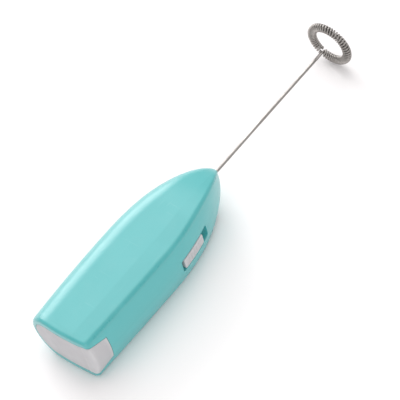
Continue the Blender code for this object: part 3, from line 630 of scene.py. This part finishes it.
def halfSection(y, inset, yPlace=None, floorDepth=0.0, grow=0.0, drop=0.0, sign=1):
    # half of the cross section at each y, as x, y and z: parabola up the side face, quarter circle over
    # the edge, straight top, quarter ellipse down the left side
    inset = np.broadcast_to(np.asarray(inset, float), (len(y),))[:, None]
    y = np.asarray(y, float)[:, None]
    place = y if yPlace is None else np.asarray(yPlace, float)[:, None]
    w, t = planRight(y), thickShare(y)
    left = np.maximum(handleForm["halfLeft"] * planLeft(y) - inset, 0.35)
    edge = np.maximum(handleForm["halfEdge"] * w - inset, 0.30)
    drop = np.broadcast_to(np.asarray(drop, float), (len(y),))[:, None]
    half = np.maximum(handleForm["halfThick"] * t - inset - drop, 0.30)
    bulge = handleForm["sideBulge"] * t * t * np.minimum(1, w)
    arc = np.minimum(half, left * 0.95)
    r = np.maximum(handleForm["edgeRound"] * t - inset * 0.6, 0.5)
    r = np.minimum(r, np.minimum(half, edge) * 0.45)
    zf = (half - r) * faceStops(sign)[None]
    xf = edge + bulge * (1 - (zf / half) ** 2)
    xf = xf - recessDepth(y + 0 * zf, zf * sign, grow, floorDepth)
    x0 = edge + bulge * (1 - ((half - r) / half) ** 2)
    a = np.linspace(0, np.pi / 2, 12)[None, 1:]
    xe, ze = x0 - r + r * np.cos(a), half - r + r * np.sin(a)
    s = np.linspace(0, 1, 20)[None, 1:]
    xt = (x0 - r) + (-(left - arc) - (x0 - r)) * s
    a = np.linspace(0, np.pi / 2, 44)[None, 1:]
    xl, zl = -(left - arc) - arc * np.sin(a), half * np.cos(a)
    x = np.concatenate([xf, xe, xt, xl], 1)
    z = np.concatenate([zf, ze, half + 0 * xt, zl], 1)
    return x, place - bowAt(x, place), z


def runStations():
    # places along the handle, close together where the recess and the nose need it
    tip = handleForm["length"] - 0.1
    noseSteps = tip - 8 * (1 - np.linspace(0, 1, 26)[1:-1]) ** 2.0
    return np.unique(np.round(np.concatenate([
        np.linspace(1.7, 56.6, 34), np.linspace(56.8, 57.7, 14), np.linspace(58.2, 76.6, 22),
        np.linspace(77.1, 78.0, 14), np.linspace(78.3, handleForm["innerEnd"], 40), noseSteps]), 3))


def asPoints(x, y, z, sign=1):
    return np.stack([x + axisX, y + buttY, z * sign + axisZ], -1)


def rimRows():
    # rows over the rounded rim: inset, place and drop of each, from the mouth's edge to the side
    a = np.linspace(0, np.pi / 2, 9)
    r = handleForm["rimRound"]
    inset = np.concatenate([[handleForm["lipIn"]], r * (1 - np.sin(a))])
    place = np.concatenate([[0.0], r * (1 - np.cos(a))])
    drop = np.concatenate([[handleForm["lipDrop"]], 0 * a])
    return inset, place, drop


def shellHalf(name, sign):
    # outer and inner surface as two grids with the same columns, joined along mouth and parting plane
    f = handleForm
    inset, place, drop = rimRows()
    stations = runStations()
    zero = np.zeros(len(inset))
    rimPart = np.stack(halfSection(zero, inset, place, drop=drop, sign=sign), -1)
    runPart = np.stack(halfSection(stations, 0.0, None, slideForm["depth"], 0.0, 0.0, sign), -1)
    outer = np.concatenate([rimPart, runPart])
    keep = (stations > f["lipDeep"] + 0.1) & (stations <= f["innerEnd"])
    mouth = halfSection(np.array([0.0, f["lipDeep"]]), f["lipIn"], drop=f["lipDrop"], sign=sign)
    hollowAt = np.concatenate([[f["lipDeep"] + 0.05], stations[keep]])
    pocket = slideForm["depth"] + slideForm["backWall"] - f["wall"]
    hollowPart = halfSection(hollowAt, f["wall"], None, pocket, 1.0, 0.0, sign)
    inner = np.concatenate([np.stack(mouth, -1), np.stack(hollowPart, -1)])
    gap = f["partGap"] / 2
    for part in (outer, inner):                 # the first and last columns lie on the parting plane
        part[:, 0, 2] = gap
        part[:, -1, 2] = gap
        part[:, 1:-1, 2] = np.maximum(part[:, 1:-1, 2], gap)
    rowsO, cols = outer.shape[:2]
    rowsI = inner.shape[0]
    last = cols - 1
    offset, centre = rowsO * cols, rowsO * cols + rowsI * cols
    points = np.vstack([outer.reshape(-1, 3), inner.reshape(-1, 3), [[0.0, inner[-1, 0, 1], gap]]])
    faces = gridQuads(rowsO, cols).tolist() + gridQuads(rowsI, cols, start=offset).tolist()
    firstO = len(inset) + int(np.argmax(keep))  # outer row level with the first station of the hollow
    firstI = 3                                  # the same place among the inner rows
    endO = firstO + int(keep.sum()) - 1
    i = np.arange(int(keep.sum()) - 1)
    for col in (0, last):                       # parting faces along both sides
        outEdge, inEdge = (firstO + i) * cols + col, offset + (firstI + i) * cols + col
        faces += np.stack([outEdge, outEdge + cols, inEdge + cols, inEdge], -1).tolist()
        faces.append([k * cols + col for k in range(firstO + 1)]
                     + [offset + k * cols + col for k in (3, 2, 1)])
    lastI = offset + (rowsI - 1) * cols
    faces.append([endO * cols, (endO + 1) * cols, (endO + 1) * cols + last, endO * cols + last,
                  lastI + last, centre, lastI])
    j = np.arange(endO + 1, rowsO - 1) * cols   # solid nose in front of the hollow
    faces += np.stack([j, j + cols, j + cols + last, j + last], -1).tolist()
    faces.append([(rowsO - 1) * cols + k for k in range(cols)])
    k = np.arange(last)
    faces += np.stack([lastI + k, lastI + k + 1, np.full(last, centre)], -1).tolist()
    points[:, 2] *= sign
    return makeObject(name, points + [axisX, buttY, axisZ], faces, materials["shell_plastic"])


def boxRings(low, high):
    x0, y0, z0 = low
    x1, y1, z1 = high
    return [[[x0, y, z0], [x1, y, z0], [x1, y, z1], [x0, y, z1]] for y in (y0, y1)]


def tabRings(gap):
    # wedge-ended block that the tab fills, or with a gap the room for it
    f = doorForm
    x0, x1 = handleForm["halfEdge"] + f["tabFrom"], handleForm["halfEdge"] + f["tabTo"]
    y0, y1 = f["tabStart"], f["tabLong"] + gap
    slope = (f["tabLow"] - f["tabTall"]) / f["tabLong"]
    h0, h1 = f["tabTall"] + slope * y0 + gap, f["tabTall"] + slope * y1 + gap
    corners = ((y0, -h0), (y1, -h1), (y1, h1), (y0, h0))
    return [[[x + axisX, y + buttY, z + axisZ] for y, z in corners] for x in (x0, x1)]


def joinSolids(solids):
    # several closed ring stacks as one list of points and one of faces
    points, faces, n = [], [], 0
    for rings in solids:
        p, f = ringStack(rings, start=n)
        points.append(p)
        faces += f
        n += len(p)
    return np.vstack(points), faces


def shellCutter(sign):
    # room for the tab, whisk bore and bush seat, slot for the button's stem, and below the screw wells
    f, w = handleForm, wellForm
    boreLine = [(f["bushFrom"], f["bushRadius"]), (f["bushTo"], f["bushRadius"]),
                (f["bushTo"], f["boreRadius"]), (f["boreEnd"], f["boreRadius"])]
    bore = latheRings(boreLine, (axisX, buttY, axisZ), (0, 1, 0))
    origin = np.array([axisX, buttY, axisZ + slideForm["level"]])
    slot = boxRings(origin + slideForm["slotLow"], origin + slideForm["slotHigh"])
    solids = [tabRings(doorForm["fit"]), bore, slot]
    if sign < 0:
        for sx, sy in screwPlaces:
            place = (sx + axisX, sy + buttY, axisZ)
            wellLine = [(w["cutFrom"], w["cutRadius"]), (w["cutTo"], w["cutRadius"])]
            solids.append(latheRings(wellLine, place, (0, 0, -1), 40))
    return makeObject("shellCutter", *joinSolids(solids))


def shellPaintedShade(x, y, z):
    # painted shade, strongest along the right edge's rounding, the butt rim and the recess lip, and darker
    # towards the nose tip
    below = np.abs(z) - handleForm["halfThick"] * thickShare(y)
    edge = np.exp(-((below + 1.0) / 1.2) ** 2) * (x > 8 * planRight(y))
    rim = np.exp(-(y / 1.3) ** 2)
    lip = recessDepth(y, z, 0.6, 1.0) * (1 - recessDepth(y, z, 0.1, 1.0)) * (x > 8)
    nose = np.clip((y - 97) / 6, 0, 1) * 0.7
    return edge + rim + lip + nose


shellPieces = {}
for label, sign, node in (("upperShellSkin", 1, "upper_shell"), ("lowerShellSkin", -1, "lower_shell")):
    shell = shellHalf(label, sign)
    cut(shell, shellCutter(sign))
    # painted shade along the shell's edges, written as its edge attribute
    setEdgeWearAndShade(shell, shellPaintedShade)
    shellPieces[label] = finishPiece(shell, "handle", "shell_plastic", node)
    print("stage:", label, len(shell.data.polygons), "faces")


def mirrorRing(x, y, z):
    # full ring from the upper half: the lower half is its mirror, without doubling the end points
    return np.concatenate([asPoints(x, y, z), asPoints(x, y, z, -1)[:, -2:0:-1]], 1)


def endBlock(name, insets, places, drops, stations, insetRun):
    # closed body between the first and last rows; the butt cap is ruled across, so it keeps the bow
    rows = [mirrorRing(*halfSection(np.zeros(len(insets)), insets, places, drop=drops))]
    if len(stations):
        rows.append(mirrorRing(*halfSection(np.asarray(stations, float), insetRun)))
    rings = np.concatenate(rows, 0)
    points, faces = ringStack(rings, capStart=False, capEnd=False)
    n, cols = rings.shape[:2]
    halfCols = cols // 2 + 1
    for base in (0, (n - 1) * cols):            # caps ruled between upper and lower points
        k = np.arange(1, halfCols - 2)
        faces += np.stack([base + k, base + k + 1, base + cols - k - 1, base + cols - k], -1).tolist()
        faces.append([base, base + 1, base + cols - 1])
        faces.append([base + halfCols - 2, base + halfCols - 1, base + halfCols])
    return makeObject(name, points, faces)


def doorWear(x, y, z):
    # strongest along the tab's edge, the corner and the panel's long edges
    tabEdge = np.exp(-((y - doorForm["tabLong"]) / 0.8) ** 2)
    rim = np.exp(-(y / 1.2) ** 2) * (x > 13)
    border = np.exp(-((np.abs(z) - 9.3) / 0.6) ** 2) * (y < 1)
    return tabEdge + rim + 0.7 * border


outerEnd = endBlock("batteryDoorSkin", *rimRows(), np.linspace(1.7, 13.5, 14), 0.0)
outerEnd.data.materials.append(materials["grey_plastic"])
wall, panelIn = handleForm["wall"], handleForm["lipIn"] + doorForm["fit"]
thick, drops = doorForm["panelThick"], [handleForm["lipDrop"]] * 4
hollow = endBlock("hollow", [wall] * 2, [thick * 0.5, 1.9], [0.0] * 2, np.linspace(3, 20, 10), wall)
panel = endBlock("panel", [panelIn] * 4, [-6.0, -3.0, 0.0, thick], drops, [], 0.0)
tab = makeObject("tab", *ringStack(tabRings(0.0)))
cut(tab, hollow)
cut(tab, panel, "UNION")
cut(outerEnd, tab, "INTERSECT")
batteryDoor = outerEnd
setEdgeWearAndShade(batteryDoor, doorWear)
finishPiece(batteryDoor, "door", "grey_plastic", "battery_door")
print("stage: batteryDoorSkin", len(batteryDoor.data.polygons), "faces")


def slideButton():
    # raised tile that follows the side face: grid squeezed into a rounded rectangle, quarter circle round
    # its rim, grooves as steep bells along y, and a stem to the switch
    f = slideForm
    hy, hz, rc = f["buttonLong"] / 2, f["buttonHalfHigh"], f["buttonCorner"]
    easeU = np.sin(np.linspace(-np.pi / 2, np.pi / 2, 150))
    easeV = np.sin(np.linspace(-np.pi / 2, np.pi / 2, 56))
    u, v = np.meshgrid(easeU * hy, easeV * hz, indexing="ij")
    cu, cv = np.abs(u) - (hy - rc), np.abs(v) - (hz - rc)
    length = np.hypot(cu, cv)
    corner = (cu > 0) & (cv > 0) & (length > rc)
    scale = np.where(corner, rc / np.maximum(length, 1e-9), 1.0)
    u = np.where(corner, np.sign(u) * (hy - rc + cu * scale), u)
    v = np.where(corner, np.sign(v) * (hz - rc + cv * scale), v)
    qy, qz = np.abs(u) - hy + rc, np.abs(v) - hz + rc
    inside = rc - np.hypot(np.maximum(qy, 0), np.maximum(qz, 0)) - np.minimum(np.maximum(qy, qz), 0)
    inside = np.maximum(inside, 0)
    rim = f["rim"]
    drop = rim - np.sqrt(np.maximum(rim ** 2 - np.maximum(rim - inside, 0) ** 2, 0))
    y = f["buttonStart"] + hy + u
    groove = np.zeros_like(u)
    for k in range(f["ridges"]):
        at = f["buttonStart"] + f["ridgeFirst"] + k * f["ridgeStep"]
        groove += np.exp(-((y - at) / f["ridgeWide"]) ** 4)
    fade = np.clip((f["ridgeHalfHigh"] - np.abs(v)) / f["ridgeFade"], 0, 1)
    groove *= f["ridgeDeep"] * fade * fade * (3 - 2 * fade)
    x = faceX(y, v + f["level"]) + f["proud"] - drop - groove
    top = np.stack([x, y, v], -1)
    rows, cols = top.shape[:2]
    loop = np.concatenate([np.arange(cols), np.arange(1, rows) * cols + cols - 1,
                           (rows - 1) * cols + np.arange(cols - 2, -1, -1),
                           np.arange(rows - 2, 0, -1) * cols])
    low = top.reshape(-1, 3)[loop].copy()
    low[:, 0] = faceX(low[:, 1], low[:, 2] + f["level"]) - f["depth"] + 0.25
    n = rows * cols
    faces = gridQuads(rows, cols).tolist()
    m = len(loop)
    nxt = (np.arange(m) + 1) % m
    faces += np.stack([loop, loop[nxt], n + nxt, n + np.arange(m)], -1).tolist()
    faces.append([n + k for k in range(m)][::-1])
    stemPoints, stemFaces = ringStack(boxRings(f["stemLow"], f["stemHigh"]), start=n + m)
    pts = np.vstack([top.reshape(-1, 3), low, stemPoints]) + [axisX, buttY, axisZ + f["level"]]
    return makeObject("slideButtonCap", pts, faces + stemFaces, materials["grey_plastic"], 40.0)


def buttonWear(x, y, z):
    # strongest along the four edges, a little everywhere
    mid = slideForm["buttonStart"] + slideForm["buttonLong"] / 2
    ends = np.exp(-((np.abs(y - mid) - 7.2) / 0.6) ** 2)
    sides = np.exp(-((np.abs(z - slideForm["level"]) - 2.7) / 0.35) ** 2)
    return ends + sides + 0.25


button = slideButton()
setEdgeWearAndShade(button, buttonWear)
finishPiece(button, "slide", "grey_plastic", "slide_button")
print("stage: slideButtonCap", len(button.data.polygons), "faces")


whiskForm = {
    "reach": 82.6,           # nose tip to the ring's plane
    "wireRadius": 0.65, "ringRadius": 9.7, "crankLong": 10.5, "crankAngle": math.radians(237.3),
    "wireStart": 91.2, "bend": 2.2,
    "shaftRadius": 0.74,     # in front of the nose
    "turns": 48, "coilOut": 1.72, "coilAlong": 1.36, "coilWire": 0.45,
    "coilFirst": -0.115, "coilSecond": 0.135,    # the stretched turn that lets the shaft in
}
ringY = buttY + handleForm["length"] + whiskForm["reach"]
crankOut = np.array([math.cos(whiskForm["crankAngle"]), 0, math.sin(whiskForm["crankAngle"])])
crankSide = np.array([-math.sin(whiskForm["crankAngle"]), 0, math.cos(whiskForm["crankAngle"])])
ringCentre = np.array([axisX, ringY, axisZ])


def onRing(angle, radius):
    # points on a circle round the ring's centre, in the plane across the shaft
    return (ringCentre + np.cos(angle)[:, None] * crankOut * np.asarray(radius)[..., None]
            + np.sin(angle)[:, None] * crankSide * np.asarray(radius)[..., None])


def quadCurve(p0, p1, p2, steps):
    t = np.linspace(0, 1, steps)[:, None]
    return p0 * (1 - t) ** 2 + p1 * 2 * t * (1 - t) + p2 * t ** 2


def whiskPath():
    # straight shaft, bend away from the axis, turn into the ring, once round it
    f = whiskForm
    a = np.array([axisX, buttY + f["wireStart"], axisZ])
    b = ringCentre - [0, f["crankLong"], 0]
    c = ringCentre + crankOut * f["ringRadius"]
    d1, d2 = (b - a) / np.linalg.norm(b - a), (c - b) / np.linalg.norm(c - b)
    straight = a + (b - d1 * f["bend"] - a) * np.linspace(0, 1, 40)[:, None]
    firstBend = quadCurve(b - d1 * f["bend"], b, b + d2 * f["bend"], 14)
    joinRing = onRing(np.array([0.24]), np.array([f["ringRadius"]]))[0]
    secondBend = quadCurve(c - d2 * f["bend"], c, joinRing, 16)
    angle = 0.24 + (2 * math.pi - 0.52) * np.linspace(0, 1, 121)[1:]
    return np.vstack([straight[:-1], firstBend, secondBend, onRing(angle, np.full(120, f["ringRadius"]))])


def coilPath():
    # helix round the ring: cosine of the phase goes out and in, sine back and forth; first turn stretched
    f = whiskForm
    turn = np.linspace(0, f["turns"] + 0.9, (f["turns"] + 1) * 22)
    wide = np.clip(turn, 0, 1)
    stretched = (f["coilSecond"] - f["coilFirst"]) * wide * wide * (3 - 2 * wide)
    even = (2 * np.pi - f["coilSecond"] + f["coilFirst"]) / f["turns"]
    angle = f["coilFirst"] + stretched + even * np.maximum(turn - 1, 0)
    phase = 2 * np.pi * turn - 0.75 * np.pi     # the shaft comes in from behind and inside
    path = onRing(angle, f["ringRadius"] + f["coilOut"] * np.cos(phase))
    path[:, 1] += f["coilAlong"] * np.sin(phase)
    return path


shaftLine = whiskPath()
outside = (shaftLine[:, 1] > buttY + handleForm["length"]) & (shaftLine[:, 1] < ringY - 2.5)
wireThick = np.where(outside, whiskForm["shaftRadius"], whiskForm["wireRadius"])
wirePoints, wireFaces = ringStack(wireRings(shaftLine, wireThick, 24))
wire = makeObject("whiskShaftWire", wirePoints, wireFaces, materials["whisk_steel"], 50.0)
finishPiece(wire, "whisk", "whisk_steel", "whisk_wire")
coilPoints, coilFaces = ringStack(wireRings(coilPath(), whiskForm["coilWire"], 10))
coil = makeObject("whiskCoilSpring", coilPoints, coilFaces, materials["whisk_steel"], 60.0)
finishPiece(coil, "whisk", "whisk_steel", "whisk_coil")
print("stage: whisk", len(wire.data.polygons), "and", len(coil.data.polygons), "faces")


screwForm = {
    "headRadius": 1.5, "headLow": 6.1, "dome": 0.55, "domePower": 2.6,
    "armHalf": 0.18, "armLong": 0.95, "crossDeep": 0.5,
    "underHead": (5.45, 4.95, 4.85, 4.80), "underRadius": (1.5, 1.5, 1.44, 0.86),
    "threadFrom": 4.75, "threadTo": -3.5, "pitch": 0.75, "core": 0.66, "threadHigh": 0.19,
    "tip": -4.0, "tipRadius": 0.1,
}


def screwHead(name, sx, sy, node):
    # power-curve dome with a cross cut in it, and a thread whose radius swings with height and angle
    f = screwForm
    theta = np.linspace(0, 2 * np.pi, 64, endpoint=False)
    r = np.concatenate([[0.02], np.linspace(0.12, 1.0, 14), np.linspace(1.06, f["headRadius"], 10)])
    rr, tt = np.meshgrid(r, theta, indexing="ij")
    px, py = rr * np.cos(tt), rr * np.sin(tt)
    dome = f["headLow"] - f["dome"] * (rr / f["headRadius"]) ** f["domePower"]
    alongX = np.maximum(np.abs(px) / f["armLong"], np.abs(py) / f["armHalf"])
    alongY = np.maximum(np.abs(px) / f["armHalf"], np.abs(py) / f["armLong"])
    cross = np.clip((1.15 - np.minimum(alongY, alongX)) / 0.3, 0, 1)
    down = dome - f["crossDeep"] * cross * cross * (3 - 2 * cross)
    head = np.stack([px, py, down], -1)
    depth = np.concatenate([f["underHead"], np.linspace(f["threadFrom"], f["threadTo"], 70), [f["tip"]]])
    zz, tt = np.meshgrid(depth, theta, indexing="ij")
    saw = np.abs(((zz / f["pitch"] - tt / (2 * np.pi)) % 1.0) - 0.5) * 2
    radius = f["core"] + f["threadHigh"] * saw ** 1.5
    radius[:4] = np.array(f["underRadius"])[:, None]
    radius[-1] = f["tipRadius"]
    side = np.stack([radius * np.cos(tt), radius * np.sin(tt), zz], -1)
    rings = np.concatenate([head, side], 0)
    rings[..., 2] = axisZ - rings[..., 2]
    rings[..., 0] += sx + axisX
    rings[..., 1] += sy + buttY
    ob = makeObject(name, *ringStack(rings), materials["screw_steel"], 38.0)
    return finishPiece(ob, "handle", "screw_steel", node)


def wellSleeve(name, sx, sy):
    # moulded tube round each screw, turned from a profile: rounded mouth, wall, floor with a hole
    w = wellForm
    around = [(dx, dy) for dx in (-2.5, 2.5) for dy in (-2.5, 2.5)]
    mouth = min(bottomAt(sx + dx, sy + dy) for dx, dy in around) - w["sunk"]
    profile = [(w["top"], w["holeRadius"]), (w["seat"], w["holeRadius"]), (w["seat"], w["boreRadius"]),
               (mouth - 0.2, w["boreRadius"]), (mouth - 0.05, w["boreRadius"] + 0.1),
               (mouth, w["mouthRadius"]), (mouth - 0.1, w["mouthRadius"] + 0.15),
               (mouth - 0.4, w["outRadius"]), (w["top"], w["outRadius"])]
    rings = latheRings(profile, (sx + axisX, sy + buttY, axisZ), (0, 0, -1), 56)
    rows, cols = rings.shape[:2]
    faces = gridQuads(rows, cols, wrapCols=True, wrapRows=True).tolist()
    ob = makeObject(name, rings.reshape(-1, 3), faces, materials["shell_plastic"])
    return finishPiece(ob, "handle", "shell_plastic")


screwNodes = ("screw_rear_left", "screw_front_left", "screw_front_right")
for k, (node, (sx, sy)) in enumerate(zip(screwNodes, screwPlaces)):
    screwHead(f"crossScrew{k + 1}", sx, sy, node)
    wellSleeve(f"screwWell{k + 1}", sx, sy)
print("stage: screws")


cellForm = {
    "hole": 0.3, "dimple": 5.6, "dimpleDeep": 0.25, "shoulder": 0.55,
    "filmStep": 0.07, "filmFrom": 3.0, "filmTo": 3.4,
    "capInner": 3.3, "capOuter": 3.0,
}
springForm = {"wire": 0.3, "middle": 7.4, "stepsPerTurn": 36}


def alongCell(node, forward):
    # radius, length, middle and starting end of a cell part, and the way it points
    low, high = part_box(node)
    radius, length = (high.x - low.x) / 2 / mm, (high.y - low.y) / mm
    start = (low.y if forward else high.y) / mm
    centre = ((high.x + low.x) / 2 / mm, start, axisZ)
    return radius, length, centre, (0, 1 if forward else -1, 0)


def cellBody(name, node, forward):
    # wrapped can, turned from a profile: rolled shoulders, a film step and a sealing groove near the cap
    f = cellForm
    radius, length, centre, ahead = alongCell(node, forward)
    film = radius - f["filmStep"]
    corners = [(0, f["hole"]), (0, f["dimple"]), (f["dimpleDeep"], f["dimple"] + 0.4),
               (f["dimpleDeep"], radius - 0.6), (0.0, radius - 0.35), (f["shoulder"], radius),
               (f["filmFrom"], radius), (f["filmFrom"] + 0.2, film), (length - f["filmTo"], film),
               (length - f["filmTo"] + 0.2, radius), (length - 0.9, radius), (length - 0.35, radius - 0.5),
               (length - 0.30, radius - 1.2), (length - 0.45, f["capInner"]),
               (length - 0.2, f["capOuter"]), (length - 0.2, f["hole"])]
    rings = latheRings(roundedProfile(corners, 0.25), centre, ahead, 72)
    ob = makeObject(name, *ringStack(rings), materials["cell_wrap"])
    return finishPiece(ob, "cells", "cell_wrap", node)


def cellCap(name, node, forward):
    # pressed button, turned from a profile with rounded shoulder and flanged foot
    radius, length, centre, ahead = alongCell(node, forward)
    hole = cellForm["hole"]
    corners = [(0, hole), (0, radius), (0.16, radius), (0.24, radius - 0.25),
               (length - 0.25, radius - 0.32), (length, radius - 0.6), (length - 0.02, hole)]
    rings = latheRings(roundedProfile(corners, 0.2), centre, ahead, 64)
    ob = makeObject(name, *ringStack(rings), materials["contact_nickel"])
    return finishPiece(ob, "cells", "contact_nickel", node)


def contactSpring(name, node, body, wide, narrow, turns, wideAtLow):
    # cone-shaped contact spring: a helix along y whose radius changes evenly
    low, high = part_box(node)
    thick = springForm["wire"]
    y0, y1 = low.y / mm + thick, high.y / mm - thick
    share = np.linspace(0, 1, int(turns * springForm["stepsPerTurn"]) + 1)
    radius = wide + (narrow - wide) * (share if wideAtLow else 1 - share)
    a = 2 * np.pi * turns * share
    centreX = springForm["middle"] + axisX
    path = np.stack([centreX + radius * np.cos(a), y0 + (y1 - y0) * share, axisZ + radius * np.sin(a)], -1)
    ob = makeObject(name, *ringStack(wireRings(path, thick, 12)), materials["contact_nickel"], 60.0)
    return finishPiece(ob, body, "contact_nickel", node)


cellBody("cellWrapLeft", "cell_left", True)
cellBody("cellWrapRight", "cell_right", False)
cellCap("cellButtonLeft", "cell_left_cap", True)
cellCap("cellButtonRight", "cell_right_cap", False)
contactSpring("doorContactSpring", "door_spring", "door", 3.6, 2.4, 2.6, True)
contactSpring("frontContactSpring", "front_spring", "handle", 3.4, 2.2, 1.6, False)
print("stage: cells and contacts")

# every CAD node that still shows takes its finish from its slot
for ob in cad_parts.values():
    if not ob.hide_render:
        slotName = ob.data.materials[0].name
        ob.data.materials.clear()
        ob.data.materials.append(materials[slotName])
print("stage: finishes on", sum(not o.hide_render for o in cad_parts.values()), "CAD nodes")

stageForm = {"floorHalf": 3.0, "floorDrop": -0.00005, "sky": 0.68}    # metres
softboxes = (    # name, place, size and power
    ("keySoftbox", (-0.90, 0.38, 0.40), 0.62, 5.4),
    ("topSoftbox", (-0.75, 0.7, 1.9), 2.2, 21.0),
    ("fillSoftbox", (1.0, -0.8, 0.45), 1.0, 4.4),
)


def paperMaterial():
    # matt pale sheet with slow tone and a faint fibre bump
    mat = bpy.data.materials.new("floorPaper")
    mat.use_nodes = True
    tree = mat.node_tree
    shader = tree.nodes["Principled BSDF"]
    obj = tree.nodes.new("ShaderNodeTexCoord").outputs["Object"]
    tone = rampNode(tree, noiseNode(tree, obj, 3.0, 3.0), 0.3, 0.7)
    paper = mixColour(tree, tone, (0.95, 0.925, 0.928), (0.965, 0.94, 0.943))
    tree.links.new(paper, shader.inputs["Base Color"])
    fibres = bumpNode(tree, noiseNode(tree, obj, 900.0, 4.0), 0.05, 0.0001)
    tree.links.new(fibres, shader.inputs["Normal"])
    shader.inputs["Roughness"].default_value = 0.7
    shader.inputs["Specular IOR Level"].default_value = 0.25
    return mat


def addLight(name, place, size, power, aim=(0.0, 0.0, 0.0)):
    data = bpy.data.lights.new(name, "AREA")
    data.shape, data.size, data.energy = "SQUARE", size, power
    ob = bpy.data.objects.new(name, data)
    ob.location = place
    ob.rotation_euler = (Vector(aim) - Vector(place)).to_track_quat("-Z", "Y").to_euler()
    bpy.context.scene.collection.objects.link(ob)
    return ob


h = stageForm["floorHalf"]
floorMesh = bpy.data.meshes.new("floorSheet")
floorMesh.from_pydata([(-h, -h, 0), (h, -h, 0), (h, h, 0), (-h, h, 0)], [], [(0, 1, 2, 3)])
floorMesh.materials.append(paperMaterial())
floorSheet = bpy.data.objects.new("floorSheet", floorMesh)
bpy.context.scene.collection.objects.link(floorSheet)
floorSheet.location.z = stageForm["floorDrop"]

for lightName, place, size, power in softboxes:
    addLight(lightName, place, size, power)
world = bpy.data.worlds.new("studioAir")
world.use_nodes = True
background = world.node_tree.nodes["Background"]
background.inputs["Color"].default_value = (1.0, 1.0, 1.0, 1.0)
background.inputs["Strength"].default_value = stageForm["sky"]
bpy.context.scene.world = world
bpy.context.scene.view_settings.view_transform = "Standard"
bpy.context.scene.view_settings.look = "None"

viewForm = {"place": (0.47555, -0.36032, 0.7495), "ahead": (-0.4999, 0.3757, -0.7803),
            "right": (0.7651, 0.6138, -0.1947), "up": (-0.4058, 0.6944, 0.5942), "lens": 198.0}
cameraData = bpy.data.cameras.new("studioCamera")
cameraData.lens, cameraData.sensor_width = viewForm["lens"], 36.0
cameraData.clip_start, cameraData.clip_end = 0.01, 20.0
camera = bpy.data.objects.new("studioCamera", cameraData)
back = -Vector(viewForm["ahead"]).normalized()
right = Vector(viewForm["right"])
right = (right - back * right.dot(back)).normalized()
up = back.cross(right)
turn = Matrix((right, up, back)).transposed().to_4x4()
camera.matrix_world = Matrix.Translation(viewForm["place"]) @ turn
bpy.context.scene.collection.objects.link(camera)
bpy.context.scene.camera = camera
print("stage: floor, lights and camera set")
